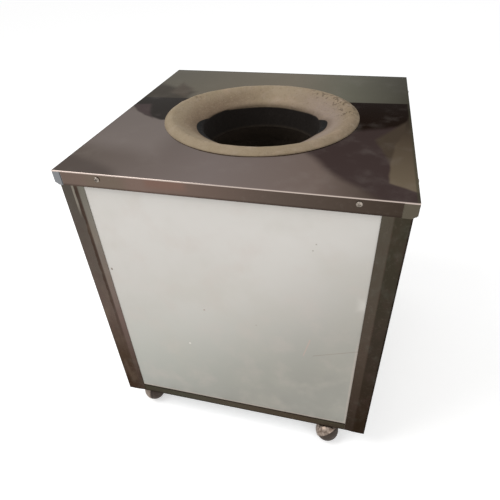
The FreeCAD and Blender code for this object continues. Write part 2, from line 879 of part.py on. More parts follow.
def wall_corners(offset):
    """Corners of the pot's wall from its foot over the belly to its neck."""
    lower = wall_steps(lower_arc, belly_height - hearth_top, offset, -1)
    upper = wall_steps(upper_arc, pot_top - belly_height, offset, 1)
    return lower[::-1] + [(named("pot_belly_radius") + offset, belly_height)] + upper


def make_clay_pot():
    """Clay pot of even wall, built in two courses luted at the belly: the foot's and the neck's."""
    for name, arc, end, upward in (("clay_pot_foot", lower_arc, hearth_top, -1),
                                   ("clay_pot_neck", upper_arc, pot_top, 1)):
        body = new_body(name)
        rise = (end - belly_height) * upward
        sides = []
        for offset in (named("pot_wall"), as_size(0)):
            widest = (named("pot_belly_radius") + offset, belly_height)
            sides.append([widest] + wall_steps(arc, rise, offset, upward))
        profile = new_sketch(body, "XZ_Plane")
        draw_loop(profile, sides[0] + sides[1][::-1])
        revolve(body, profile)
        keep(body)


def make_wool_fill():
    """Mineral wool packed between the drum and the pot, hearth and collar."""
    body = new_body("wool_fill")
    gap = named("fill_clearance")
    wall = wall_corners(named("pot_wall") + gap)
    outer = drum_radius - named("drum_sheet") - gap
    neck = wall[-1][0]
    collar_slope = collar_neck() - pot_radius_at(upper_arc, pot_top - belly_height, named("pot_wall"))
    share = (cover_board_bottom - pot_top) / (cover_top - named("collar_neck_drop") - pot_top)
    profile = new_sketch(body, "XZ_Plane")
    draw_loop(profile,
              [(named("hearth_radius") + gap, hearth_top), (named("hearth_radius") + gap, hearth_bottom),
               (outer, hearth_bottom), (outer, cover_board_bottom),
               (neck + collar_slope * share, cover_board_bottom)] + wall[::-1])
    revolve(body, profile)
    return keep(body)


def collar_neck():
    return named("mouth_hole_radius") - named("collar_clearance")


def make_mouth_collar():
    """Moulded clay collar: a flat lip on the cover, a low crest and a funnel down to the throat."""
    body = new_body("mouth_collar")
    outer, throat = named("collar_radius"), named("throat_radius")
    crest = outer - named("collar_crest_inset")
    crest_top = cover_top + named("collar_rise")
    throat_top = cover_top - named("throat_drop")
    foot = pot_radius_at(upper_arc, pot_top - belly_height, named("pot_wall"))
    profile = new_sketch(body, "XZ_Plane")
    draw_loop(profile,
              [(throat, pot_top), (foot, pot_top), (collar_neck(), cover_top - named("collar_neck_drop")),
               (collar_neck(), cover_top), (outer, cover_top), (outer, cover_top + named("collar_edge")),
               (crest, crest_top), (throat, throat_top)])
    revolve(body, profile)
    round_edges(body, named("collar_round"), lambda edge: is_ring_at(edge, crest, crest_top))
    round_edges(body, named("throat_round"), lambda edge: is_ring_at(edge, throat, throat_top))
    return keep(body)


def make_heating_element():
    """Sheathed element: an outer loop, a U-turn, an inner loop back, and both legs bent down."""
    tube, bend = named("element_radius").value, named("element_bend").value
    outer, inner = named("element_outer_loop"), named("element_inner_loop")
    height = (hearth_top + named("element_height")).value
    low = (drum_floor_bottom - named("bush_below") - named("element_tail")).value
    end = (named("element_start_angle") + named("element_sweep_angle")).value
    upward = Vector(0, 0, 1)

    def ahead(angle):
        """The direction in which the loops run at an angle."""
        return Vector(-math.sin(math.radians(angle)), math.cos(math.radians(angle)), 0)

    def on_loop(loop, angle):
        across, along = math.cos(math.radians(angle)), math.sin(math.radians(angle))
        return Vector(across * loop.value, along * loop.value, height)

    def tube_end(middle, facing):
        return Part.Face(Part.Wire(Part.Circle(middle, facing, tube).toShape()))

    runs = []
    for loop in (outer, inner):
        first = leg_turn(loop).value
        joint = on_loop(loop, first)
        top = joint - ahead(first) * bend - upward * bend
        foot = Vector(top.x, top.y, low)
        runs.append(tube_end(foot, upward).extrude(top - foot))
        runs.append(tube_end(top, upward).revolve(joint - upward * bend, upward.cross(ahead(first)), 90))
        runs.append(tube_end(joint, ahead(first)).revolve(Vector(0, 0, height), upward, end - first))
    turn_middle = (on_loop(outer, end) + on_loop(inner, end)) / 2
    runs.append(tube_end(on_loop(outer, end), ahead(end)).revolve(turn_middle, upward, 180))
    element = document.addObject("Part::Feature", "heating_element")
    element.Label = "heating_element"
    element.Shape = runs[0].fuse(runs[1:]).removeSplitter()
    return keep(element)


def make_element_bushes():
    """Ceramic tubes that carry the element's legs through the drum floor."""
    pattern = new_body("element_bush_pattern")
    ring = new_sketch(pattern, "XY_Plane")
    draw_circle(ring, 0, 0, named("bush_radius"))
    draw_circle(ring, 0, 0, named("element_radius") + named("bush_clearance"))
    pad(pattern, ring, named("bush_length"))
    bottom = drum_floor_bottom - named("bush_below")
    places = [(across, along, bottom, None) for across, along in leg_points()]
    return keep(group("element_bushes", pattern, places))


def make_element_clips():
    """Small folded stands that hold both loops off the hearth."""
    pattern = new_body("element_clip_pattern")
    outline = new_sketch(pattern, "XZ_Plane")
    half, tube = named("clip_length") / 2, named("element_radius") + named("bush_clearance")
    foot = named("clip_sheet")
    post, cradle = named("clip_post"), named("clip_cradle")
    draw_loop(outline, [(-half, 0), (half, 0), (half, foot), (post, foot), (post, cradle), (-post, cradle),
                        (-post, foot), (-half, foot)], {4: tube})
    pad(pattern, outline, named("clip_width"), both_ways=True)
    places = []
    for loop in ("element_outer_loop", "element_inner_loop"):
        for number in range(CLIPS_PER_LOOP):
            angle = named("clip_angle") + 90 * number
            place = (cosine(angle) * named(loop), sine(angle) * named(loop), hearth_top)
            places.append((*place, Rotation(Vector(0, 0, 1), angle.value)))
    return keep(group("element_clips", pattern, places))


def face_rear(item, drop, sideways=0.0, out=None):
    """Stand an object on the rear: its X to the viewer's right, its Y up, its Z out of the cabinet."""
    put(item, control_across - as_size(sideways), out or plate_face, named("control_z") - as_size(drop),
        REAR_FACING)


def make_control_plate():
    """Stainless plate over the window in the rear panel, its screws, and the box behind it."""
    plate = new_body("control_plate")
    outline = new_sketch(plate, "XY_Plane", -named("plate_sheet"))
    half_width, half_height = named("plate_width") / 2, named("plate_height") / 2
    draw_rectangle(outline, -half_width, -half_height, half_width, half_height)
    draw_circle(outline, 0, -named("knob_drop"), named("thermostat_bush_radius") + named("screw_clearance"))
    for sign in (-1, 1):
        draw_circle(outline, named("lamp_offset") * sign, -named("lamp_drop"),
                    named("lamp_body_radius") + named("screw_clearance"))
    step, gap = named("switch_step"), named("screw_clearance")
    draw_rectangle(outline, step - gap - named("switch_width") / 2,
                   step - gap - named("switch_drop") - named("switch_height") / 2,
                   named("switch_width") / 2 - step + gap,
                   named("switch_height") / 2 - step + gap - named("switch_drop"))
    inset = named("plate_screw_inset")
    for left in (-1, 1):
        for low in (-1, 1):
            draw_circle(outline, (half_width - inset) * left, (half_height - inset) * low,
                        named("plate_screw_radius") + named("screw_clearance"))
    pad(plate, outline, named("plate_sheet"))
    corner_x = half_width.value
    round_edges(plate, named("plate_corner"),
                lambda edge: is_upright(edge) and abs(abs(edge.Vertexes[0].Point.x) - corner_x) < NEAR)
    face_rear(plate, 0.0)
    keep(plate)
    box = new_body("control_box")
    wide, tall = named("box_width") / 2, named("box_height") / 2
    outer = new_sketch(box, "XY_Plane", -named("box_depth"))
    draw_rectangle(outer, -wide, -tall, wide, tall)
    pad(box, outer, named("box_depth"))
    hollow = new_sketch(box, "XY_Plane")
    thick = named("box_sheet")
    draw_rectangle(hollow, thick - wide, thick - tall, wide - thick, tall - thick)
    pocket(box, hollow, named("box_depth") - thick)
    grommet = new_sketch(box, "XY_Plane", -named("box_depth"))
    draw_circle(grommet, 0, -named("knob_drop"), named("grommet_radius"))
    pocket(box, grommet, thick, reverse=True)
    face_rear(box, 0.0, out=frame_face)
    keep(box)
    pattern = make_screw("plate_screw_pattern", named("plate_screw_radius"), named("plate_screw_length"),
                         named("plate_screw_head_radius"), named("plate_screw_head_height"))
    places = []
    for left in (-1, 1):
        for low in (-1, 1):
            places.append((control_across + (half_width - inset) * left, plate_face,
                           named("control_z") + (half_height - inset) * low, REAR_FACING))
    keep(group("plate_screws", pattern, places))


def make_thermostat():
    """Thermostat behind the plate with its bush and nut, its spindle, and the knob on that."""
    body = new_body("thermostat")
    back = -named("plate_sheet")
    case = new_sketch(body, "XY_Plane", back - named("thermostat_depth"))
    half = named("thermostat_width") / 2
    draw_square(case, as_size(0), as_size(0), half)
    pad(body, case, named("thermostat_depth"))
    round_edges(body, named("thermostat_corner"), is_upright)
    bush = new_sketch(body, "XY_Plane", back)
    draw_circle(bush, 0, 0, named("thermostat_bush_radius"))
    pad(body, bush, named("plate_sheet") + named("thermostat_bush_height"))
    nut = new_sketch(body, "XY_Plane")
    draw_hexagon(nut, named("thermostat_nut_radius"))
    pad(body, nut, named("thermostat_nut_height"))
    bore = new_sketch(body, "XY_Plane", named("thermostat_bush_height"))
    draw_circle(bore, 0, 0, named("spindle_radius") + named("spindle_fit"))
    sunk = named("thermostat_bush_height") + named("spindle_sunk")
    pocket(body, bore, sunk + named("kingpin_end_gap"))
    face_rear(body, named("knob_drop"))
    keep(body)

    spindle = new_body("thermostat_spindle")
    rod = new_sketch(spindle, "XY_Plane", -named("spindle_sunk"))
    draw_circle(rod, 0, 0, named("spindle_radius"))
    top = named("knob_gap") + named("knob_bore_depth")
    pad(spindle, rod, named("spindle_sunk") + top)
    flat = new_sketch(spindle, "XY_Plane", top)
    far = named("spindle_radius") * 2
    draw_rectangle(flat, named("spindle_radius") / 2, -far, far, far)
    pocket(spindle, flat, top - named("thermostat_bush_height"))
    face_rear(spindle, named("knob_drop"))
    keep(spindle)
    make_knob()


def make_capillary():
    """Sensing bulb that stands on the drum's wall, and its capillary up and back into the thermostat."""
    body = new_body("thermostat_capillary")
    from_middle = drum_radius + named("bulb_gap") + named("bulb_radius")
    away = root_of(from_middle * from_middle - control_across * control_across)
    inlet = panel_face - named("thermostat_depth")
    level, bend = named("control_z") - named("knob_drop"), named("capillary_bend")
    thin, bulb = named("capillary_radius"), named("bulb_radius")
    top = level - named("thermostat_width")
    stem = new_sketch(body, "XY_Plane", top - named("bulb_length"))
    draw_circle(stem, 0, 0, bulb)
    pad(body, stem, named("bulb_length"))
    rise = new_sketch(body, "XY_Plane", top)
    draw_circle(rise, 0, 0, thin)
    pad(body, rise, level - bend - top)
    turn = new_sketch(body, "XY_Plane", level - bend)
    draw_circle(turn, 0, 0, thin)
    axis = turn.addGeometry(Part.LineSegment(Vector(-1, bend.value, 0), Vector(1, bend.value, 0)), True)
    dimension(turn, "DistanceY", axis, 1, bend)
    dimension(turn, "DistanceY", axis, 2, bend)
    quarter = body.newObject("PartDesign::Revolution", "thermostat_capillary_bend")
    quarter.Profile = turn
    quarter.ReferenceAxis = (turn, ["Axis0"])
    quarter.Angle = 90
    quarter.Reversed = True
    document.recompute()
    reach = new_sketch(body, "XZ_Plane", -bend)
    draw_circle(reach, 0, level, thin)
    pad(body, reach, inlet - away - bend, reverse=True)
    put(body, control_across, away, 0, None)
    return keep(body)


def make_knob():
    """Moulded knob: thin skirt, fluted grip, pointer rib, and a D-shaped bore with room for the nut."""
    knob = new_body("thermostat_knob")
    gap, skirt, height = named("knob_gap"), named("knob_skirt"), named("knob_height")
    outer, grip, bevel = named("knob_radius"), named("knob_grip_radius"), named("knob_bevel")
    profile = new_sketch(knob, "XZ_Plane")
    draw_loop(profile, [(0, gap), (outer, gap), (outer, gap + named("knob_skirt_land")),
                        (grip + bevel, gap + skirt), (grip, gap + height - bevel),
                        (grip - bevel, gap + height), (0, gap + height)])
    revolve(knob, profile)
    flute = new_sketch(knob, "XY_Plane", gap + height)
    draw_circle(flute, grip + named("knob_flute_radius") - named("knob_flute_depth"), 0,
                named("knob_flute_radius"))
    cut = pocket(knob, flute, height - skirt)
    flutes = knob.newObject("PartDesign::PolarPattern", "knob_flutes")
    flutes.Originals = [cut]
    flutes.Axis = (flute, ["N_Axis"])
    flutes.Angle = 360
    bind(flutes, "Occurrences", named("knob_flute_count"))
    knob.Tip = flutes
    document.recompute()
    rib = new_sketch(knob, "XY_Plane", gap + height)
    half = named("knob_rib_width") / 2
    draw_rectangle(rib, -half, -named("knob_rib_back"), half, named("knob_rib_front"))
    pad(knob, rib, named("knob_rib_rise"))
    hollow = new_sketch(knob, "XY_Plane", gap)
    draw_circle(hollow, 0, 0, named("thermostat_nut_radius") + bevel)
    pocket(knob, hollow, named("thermostat_bush_height") + named("knob_end_gap"), reverse=True)
    bore = new_sketch(knob, "XY_Plane", gap)
    radius = named("spindle_radius") + named("spindle_fit")
    chord = named("spindle_radius") / 2 + named("spindle_fit")
    reach = root_of(radius * radius - chord * chord)
    draw_loop(bore, [(chord, -reach), (chord, reach), (-radius, 0)],
              {1: -radius, 2: -radius})
    pocket(knob, bore, named("knob_bore_depth") + named("knob_end_gap"), reverse=True)
    face_rear(knob, named("knob_drop"))
    keep(knob)


def make_lamps():
    """Two pilot lamps: a domed lens on a flange, with the holder behind the plate."""
    for name, sign in (("power", -1), ("heat", 1)):
        body = new_body("pilot_lamp_%s" % name)
        lens, stem = named("lamp_lens_radius"), named("lamp_body_radius")
        flange = named("lamp_flange")
        dome = lens - named("lamp_rim")
        rise = named("lamp_dome_rise")
        profile = new_sketch(body, "XZ_Plane")
        draw_loop(profile, [(0, -named("lamp_body_length")), (stem, -named("lamp_body_length")), (stem, 0),
                            (lens, 0), (lens, flange), (dome, flange), (0, flange + rise)],
                  {5: -((dome * dome + rise * rise) / (rise * 2))})
        revolve(body, profile)
        face_rear(body, named("lamp_drop"), named("lamp_offset") * -sign)
        keep(body)


def make_switch():
    """Rocker switch: bezel and body with a cavity, and the rocker on two pin stubs."""
    housing = new_body("switch_housing")
    half_width, half_height = named("switch_width") / 2, named("switch_height") / 2
    step = named("switch_step")
    bezel = new_sketch(housing, "XY_Plane")
    draw_rectangle(bezel, -half_width, -half_height, half_width, half_height)
    pad(housing, bezel, named("switch_bezel"))
    stem = new_sketch(housing, "XY_Plane")
    draw_rectangle(stem, step - half_width, step - half_height, half_width - step, half_height - step)
    pad(housing, stem, named("switch_body_depth"), reverse=True)
    cavity = new_sketch(housing, "XY_Plane", named("switch_bezel"))
    gap, radius = named("rocker_gap"), named("rocker_radius")
    half_rocker = named("rocker_width") / 2
    draw_rectangle(cavity, -radius - gap, -half_rocker - gap, radius + gap, half_rocker + gap)
    pocket(housing, cavity, named("switch_bezel") + radius + gap)
    pins = new_sketch(housing, "XZ_Plane")
    draw_circle(pins, 0, 0, named("rocker_pin_radius") + named("spindle_fit"))
    pocket(housing, pins, (half_rocker + gap + named("rocker_pin_length")) * 2, both_ways=True)
    face_rear(housing, named("switch_drop"))
    keep(housing)

    rocker = new_body("switch_rocker")
    outline = new_sketch(rocker, "XZ_Plane")
    tilt = named("rocker_tilt")
    rise = named("switch_bezel") + named("rocker_proud")
    left_top = (-root_of(radius * radius - rise * rise), rise)
    pressed = rise - (root_of(radius * radius - rise * rise)) * sine(tilt)
    right_top = (root_of(radius * radius - pressed * pressed), pressed)
    foot, low = named("rocker_foot"), named("rocker_depth")
    draw_loop(outline, [(-foot, -low), (foot, -low), right_top, (0, rise - named("rocker_dip")), left_top],
              {1: -named("rocker_belly")})
    pad(rocker, outline, named("rocker_width"), both_ways=True)
    stub = new_sketch(rocker, "XZ_Plane")
    draw_circle(stub, 0, 0, named("rocker_pin_radius"))
    pin = named("rocker_pin_length") - named("rocker_pin_end_gap")
    pad(rocker, stub, (half_rocker + gap + pin) * 2, both_ways=True)
    face_rear(rocker, named("switch_drop"))
    keep(rocker)


def make_gland():
    """Cable inlet in the rear panel: hex body and domed cap outside, lock nut inside, clear bore."""
    body = new_body("cable_gland")
    bore, thread, across = named("gland_bore_radius"), named("gland_thread_radius"), named("gland_hex") / 2
    cap = named("gland_cap_length")
    stem = new_sketch(body, "XY_Plane", -named("panel_sheet") - named("gland_inner_length"))
    draw_circle(stem, 0, 0, thread)
    pad(body, stem, named("panel_sheet") + named("gland_inner_length"))
    corner = across / cosine(30)
    head = new_sketch(body, "XY_Plane")
    draw_hexagon(head, corner)
    pad(body, head, named("gland_hex_length"))
    dome = new_sketch(body, "XZ_Plane")
    wide, start = across - named("gland_dome_inset"), named("gland_hex_length") / 2
    draw_loop(dome, [(0, start), (wide, start), (wide, cap - named("gland_dome_shoulder")),
                     (bore + named("gland_lip"), cap), (0, cap)])
    revolve(body, dome)
    nut = new_sketch(body, "XY_Plane", -named("panel_sheet") - named("gland_nut_length"))
    draw_hexagon(nut, corner)
    pad(body, nut, named("gland_nut_length"))
    hole = new_sketch(body, "XY_Plane", cap)
    draw_circle(hole, 0, 0, bore)
    pocket(body, hole, cap + named("panel_sheet") + named("gland_inner_length"))
    put(body, control_across, panel_face, named("gland_z"), REAR_FACING)
    return keep(body)


def make_terminals():
    """Ceramic terminal block on the rear panel's inside, and the earth stud on the rear right post."""
    block = new_body("terminal_block")
    base = new_sketch(block, "XY_Plane", -named("terminal_depth"))
    half, tall = named("terminal_width") / 2, named("terminal_height") / 2
    draw_rectangle(base, -half, -tall, half, tall)
    pad(block, base, named("terminal_depth"))
    wells = new_sketch(block, "XY_Plane", -named("terminal_depth"))
    for number in (-1, 0, 1):
        middle = named("terminal_width") * number / 3
        for low in (-1, 1):
            draw_circle(wells, middle, tall * low / 2, named("terminal_well_radius"))
    pocket(block, wells, named("terminal_well_depth"), reverse=True)
    put(block, control_across, frame_face, named("terminal_z"), REAR_FACING)
    keep(block)

    stud = new_body("earth_stud")
    radius, nut = named("stud_radius"), named("stud_nut")
    rod = new_sketch(stud, "XY_Plane")
    draw_circle(rod, 0, 0, radius)
    pad(stud, rod, named("stud_length"))
    hexagon = new_sketch(stud, "XY_Plane")
    draw_hexagon(hexagon, nut)
    pad(stud, hexagon, named("stud_nut_height"))
    post_inside = frame_face - named("corner_gap") - named("angle_thickness")
    put(stud, post_inside, frame_face - named("corner_gap") - named("angle_width") / 2, named("stud_z"),
        Rotation(Vector(0, 1, 0), -90))
    keep(stud)


plate_bottom = pan_bottom - named("castor_plate_thickness")
boss_top = plate_bottom - named("castor_gap")
castor_lean = -named("castor_tilt")


def make_castor_plate(name, across, along):
    """Square mounting plate with four bolt holes and the kingpin riveted under it."""
    body = new_body("castor_plate_%s" % name)
    outline = new_sketch(body, "XY_Plane", plate_bottom)
    draw_square(outline, as_size(0), as_size(0), named("castor_plate_width") / 2)
    for left in (-1, 1):
        for low in (-1, 1):
            draw_circle(outline, named("castor_bolt_offset") * left, named("castor_bolt_offset") * low,
                        named("castor_bolt_radius") + named("screw_clearance"))
    pad(body, outline, named("castor_plate_thickness"))
    corner = named("castor_plate_width").value / 2
    round_edges(body, named("castor_plate_corner"),
                lambda edge: is_upright(edge) and abs(abs(edge.Vertexes[0].Point.x) - corner) < NEAR)
    pin = new_sketch(body, "XY_Plane", plate_bottom)
    draw_circle(pin, 0, 0, named("kingpin_radius"))
    pad(body, pin, named("kingpin_length"), reverse=True)
    put(body, across, along, 0)
    keep(body)


def castor_turn(heading):
    """Turn of the ball's own frame: its X rolls along the heading and its Z leans to the hood's side."""
    lean = Rotation(Vector(1, 0, 0), castor_lean.value)
    return Rotation(Vector(0, 0, 1), heading.value).multiply(lean)


def put_ball_part(body, across, along, heading):
    """Stand a piece of the ball at its own centre, behind the kingpin by the castor's trail."""
    put(body, across - cosine(heading) * named("castor_trail"), along - sine(heading) * named("castor_trail"),
        named("wheel_radius"), castor_turn(heading))


def make_castor_hood(name, across, along, heading):
    """Pressed half-ball hood with an axle hub, a boss for the kingpin, and its mouth cut on one plane."""
    body = new_body("castor_hood_%s" % name)
    outer, wall, split = named("hood_radius"), named("hood_wall"), named("hood_split")
    inner = outer - wall
    hub = named("hub_radius")
    bore = named("axle_radius") + named("axle_press")
    depth = named("axle_depth")
    profile = new_sketch(body, "XZ_Plane")
    draw_loop(profile,
              [(0, depth), (bore, depth), (bore, split * 2), (hub, split * 2),
               (hub, root_of(inner * inner - hub * hub)), (root_of(inner * inner - split * split), split),
               (root_of(outer * outer - split * split), split), (0, outer)],
              {4: inner, 6: -outer})
    revolve(body, profile)
    height = boss_top - named("wheel_radius")
    boss_low = named("kingpin_end_gap") + named("kingpin_length") + named("hood_wall")
    boss_length = boss_low - named("castor_gap")
    add_leaning_cylinder(body, "PartDesign::AdditiveCylinder", named("boss_radius"), boss_length,
                         height - boss_length)
    base = new_sketch(body, "XY_Plane", split)
    draw_square(base, as_size(0), as_size(0), outer * 2)
    pocket(body, base, outer * 2)
    pin_depth = named("kingpin_length") - named("castor_gap") + named("kingpin_end_gap")
    bore = named("kingpin_radius") + named("kingpin_fit")
    add_leaning_cylinder(body, "PartDesign::SubtractiveCylinder", bore, pin_depth, height - pin_depth)
    put_ball_part(body, across, along, heading)
    keep(body)


def add_leaning_cylinder(body, kind, radius, length, bottom):
    """A cylinder that is upright once the ball leans: it stands on the castor's swivel axis."""
    lean = castor_lean
    feature = body.newObject(kind, "%s_cylinder" % body.Name)
    bind(feature, "Radius", radius)
    bind(feature, "Height", length)
    origin_plane = [item for item in body.Origin.OriginFeatures if item.Role == "XY_Plane"][0]
    feature.AttachmentSupport = (origin_plane, "")
    feature.MapMode = "FlatFace"
    feature.AttachmentOffset = FreeCAD.Placement(Vector(0, 0, 0), Rotation(Vector(1, 0, 0), -lean.value))
    bind(feature, "AttachmentOffset.Base.x", named("castor_trail"))
    bind(feature, "AttachmentOffset.Base.y", sine(lean) * bottom)
    bind(feature, "AttachmentOffset.Base.z", cosine(lean) * bottom)
    document.recompute()
    return feature


def make_castor_wheel(name, across, along, heading):
    """Half-ball wheel: round tread, flat cap with a hub recess, hollow back, bore for the axle."""
    body = new_body("castor_wheel_%s" % name)
    radius, cap = named("wheel_radius"), named("wheel_cap")
    bore = named("axle_radius") + named("axle_fit")
    cap_radius = root_of(radius * radius - cap * cap)
    recess = named("wheel_recess_radius")
    deep = named("wheel_hollow_depth")
    profile = new_sketch(body, "XZ_Plane")
    draw_loop(profile,
              [(bore, 0), (bore, named("wheel_recess_depth") - cap),
               (recess, named("wheel_recess_depth") - cap), (recess, -cap), (cap_radius, -cap), (radius, 0),
               (named("wheel_hollow_outer"), 0),
               (named("wheel_hollow_outer") - named("wheel_hollow_draft"), -deep),
               (named("wheel_hollow_inner"), -deep), (named("wheel_hollow_inner"), 0)],
              {4: -radius})
    revolve(body, profile)
    put_ball_part(body, across, along, heading)
    keep(body)

    axle = new_body("castor_axle_%s" % name)
    head = named("axle_head_radius")
    seat = named("wheel_recess_depth") - cap - named("castor_gap")
    outline = new_sketch(axle, "XZ_Plane")
    rod = named("axle_radius")
    draw_loop(outline, [(0, seat - named("axle_head_height")), (head, seat - named("axle_head_height")),
                        (head, seat), (rod, seat), (rod, named("axle_depth") - named("castor_gap")),
                        (0, named("axle_depth") - named("castor_gap"))])
    revolve(axle, outline)
    put_ball_part(axle, across, along, heading)
    keep(axle)


def make_castor_bolts():
    """Hexagon bolts with their nuts, four to a castor, through plate, pan and gusset."""
    pattern = new_body("castor_bolt_pattern")
    head_height = named("castor_bolt_head_height")
    grip = frame_bottom + named("angle_thickness") - plate_bottom
    tail = grip + named("castor_nut_height") + named("castor_bolt_tail")
    shank = new_sketch(pattern, "XY_Plane")
    draw_circle(shank, 0, 0, named("castor_bolt_radius"))
    pad(pattern, shank, tail)
    for bottom, height in ((-head_height, head_height), (grip, named("castor_nut_height"))):
        hexagon = new_sketch(pattern, "XY_Plane", bottom)
        draw_hexagon(hexagon, named("castor_bolt_head_radius"))
        pad(pattern, hexagon, height)
    places = []
    for _, across, along in castor_places():
        for left in (-1, 1):
            for low in (-1, 1):
                places.append((across + named("castor_bolt_offset") * left,
                               along + named("castor_bolt_offset") * low, plate_bottom, None))
    keep(group("castor_bolts", pattern, places))


def make_castors():
    for name, across, along in castor_places():
        heading = named("castor_angle_%s" % name)
        make_castor_plate(name, across, along)
        make_castor_hood(name, across, along, heading)
        make_castor_wheel(name, across, along, heading)
    make_castor_bolts()


def check_and_export():
    """Stop on any failed object or unsound shape, then write one STEP file for each sub-part."""
    document.recompute()
    for item in document.Objects:
        if "Invalid" in item.State or "Error" in item.State:
            raise RuntimeError("%s failed: %s" % (item.Label, item.State))
    for label, node in NODES.items():
        if node.Shape.isNull() or not node.Shape.isValid() or not node.Shape.Solids:
            raise RuntimeError("%s has no sound solid" % label)
    os.makedirs("parts", exist_ok=True)
    for label, node in NODES.items():
        node.Shape.exportStep("parts/%s.step" % label)
    print("%d sub-parts written" % len(NODES))


make_top_cover()
make_top_ring()
make_cover_screws()
make_corner_trims()
make_panels()
make_bottom_rails()
make_base_pan()
make_angle_frame()
make_drum()
make_clay_pot()
make_wool_fill()
make_mouth_collar()
make_heating_element()
make_element_bushes()
make_element_clips()
make_control_plate()
make_thermostat()
make_capillary()
make_lamps()
make_switch()
make_gland()
make_terminals()
make_castors()
check_and_export()
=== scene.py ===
"""Looks of a square electric clay oven: steel cabinet, clay mouth collar, hooded ball castors."""

from math import hypot, pi, radians

import bmesh
import bpy
from mathutils import Matrix, Vector, noise


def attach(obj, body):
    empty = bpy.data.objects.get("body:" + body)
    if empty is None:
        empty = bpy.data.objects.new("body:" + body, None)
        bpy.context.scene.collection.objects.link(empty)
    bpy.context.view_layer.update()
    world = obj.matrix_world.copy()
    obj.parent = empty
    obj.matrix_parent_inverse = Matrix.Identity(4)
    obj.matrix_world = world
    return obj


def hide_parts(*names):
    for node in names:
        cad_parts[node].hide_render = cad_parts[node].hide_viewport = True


MM = 0.001

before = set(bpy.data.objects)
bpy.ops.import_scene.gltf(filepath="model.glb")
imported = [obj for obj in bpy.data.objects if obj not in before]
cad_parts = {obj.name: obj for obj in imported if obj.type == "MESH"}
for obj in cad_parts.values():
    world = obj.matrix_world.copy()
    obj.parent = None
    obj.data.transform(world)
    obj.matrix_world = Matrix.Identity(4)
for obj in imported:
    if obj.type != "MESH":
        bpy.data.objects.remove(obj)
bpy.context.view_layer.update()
scene = bpy.context.scene

# Heights and half widths of the cover and the cabinet, in metres
COVER_TOP = 0.693
COVER_HALF = 0.305
SKIRT_FOOT = 0.665
CABINET_HALF = 0.300
CABINET_FOOT = 0.060
PANEL_FOOT = 0.0838

# Where the throat's bore opens into the collar's funnel, in metres
THROAT_EDGE = 0.673
THROAT_RADIUS = 0.1245

METAL = {"Metallic": 1.0}
# Hazed, dulled steel glares less than clean steel where it is seen at a low angle
DULLED_METAL = {"Metallic": 1.0, "Specular Tint": "#b4b4b4"}


# ---------------------------------------------------------------- colours and nodes
def linear(hex_colour):
    """An sRGB hex colour as the linear colour that a shader reads."""
    channels = [int(hex_colour[place:place + 2], 16) / 255 for place in (1, 3, 5)]
    return [value / 12.92 if value <= 0.04045 else ((value + 0.055) / 1.055) ** 2.4
            for value in channels] + [1.0]


def add_node(tree, kind, inputs, give=0, **settings):
    """Add a shader node with its settings and links, and return one of its outputs."""
    node = tree.nodes.new("ShaderNode" + kind)
    for name, value in settings.items():
        setattr(node, name, value)
    for name, value in inputs.items():
        if isinstance(value, bpy.types.NodeSocket):
            tree.links.new(value, node.inputs[name])
        else:
            node.inputs[name].default_value = linear(value) if isinstance(value, str) else value
    return node.outputs[give]


def empty_tree(owner):
    """The node tree of a material or of the world, with nothing in it yet."""
    owner.use_nodes = True
    owner.node_tree.nodes.clear()
    return owner.node_tree


def start_finish(name, constants):
    """A fresh material: the material, its tree, its shader with constants set, and places on the piece."""
    material = bpy.data.materials.new(name)
    tree = empty_tree(material)
    shader = add_node(tree, "BsdfPrincipled", constants)
    output = tree.nodes.new("ShaderNodeOutputMaterial")
    tree.links.new(shader, output.inputs["Surface"])
    return material, tree, shader.node, add_node(tree, "TexCoord", {}, "Object")


def axes(tree, place):
    """How far right, how far back and how high a place is."""
    apart = add_node(tree, "SeparateXYZ", {"Vector": place})
    return apart, apart.node.outputs["Y"], apart.node.outputs["Z"]


def from_middle(tree, across, along):
    """How far a place is from the middle of the oven, sideways and then to front or back."""
    return [add_node(tree, "Math", {0: value}, operation="ABSOLUTE") for value in (across, along)]


def mottle(tree, place, size_mm, low=0.3, high=0.7, least=0.0, most=1.0, detail=3.0, stretch=(1, 1, 1)):
    """Clouds or grain about size_mm across, from least to most; a stretch under 1 draws them out that way."""
    drawn = add_node(tree, "Mapping", {"Vector": place, "Scale": stretch})
    cloud = add_node(tree, "TexNoise", {"Vector": drawn, "Scale": 1 / (size_mm * MM), "Detail": detail,
                                        "Roughness": 0.55})
    return add_node(tree, "MapRange", {"Value": cloud, "From Min": low, "From Max": high, "To Min": least,
                                       "To Max": most}, interpolation_type="SMOOTHSTEP")


def band(tree, value, start, full, fade=None, gone=None, most=1.0):
    """A share that rises from start to full and, where it ends again, falls from fade to gone."""
    share = add_node(tree, "MapRange", {"Value": value, "From Min": start, "From Max": full, "To Max": most},
                     interpolation_type="SMOOTHSTEP")
    if fade is None:
        return share
    ending = add_node(tree, "MapRange", {"Value": value, "From Min": gone, "From Max": fade},
                      interpolation_type="SMOOTHSTEP")
    return both(tree, share, ending)


def both(tree, *shares):
    """A share that is full only where all of its shares are."""
    product = shares[0]
    for share in shares[1:]:
        product = add_node(tree, "Math", {0: product, 1: share}, operation="MULTIPLY")
    return product


def coats(tree, colour, *layers):
    """Lay colours over a colour in turn; each layer is its share and its colour."""
    for share, coat in layers:
        colour = add_node(tree, "Mix", {0: share, 6: colour, 7: coat}, 2, data_type="RGBA")
    return colour


def tones(tree, value, *stops):
    """A run of colours along a value; each stop is the value there and its colour."""
    start, end = stops[0][0], stops[-1][0]
    share = add_node(tree, "MapRange", {"Value": value, "From Min": start, "From Max": end})
    run = add_node(tree, "ValToRGB", {"Fac": share})
    marks = run.node.color_ramp.elements
    for at, _ in stops[1:-1]:
        marks.new((at - start) / (end - start))
    for mark, (_, colour) in zip(marks, stops):
        mark.color = linear(colour)
    return run


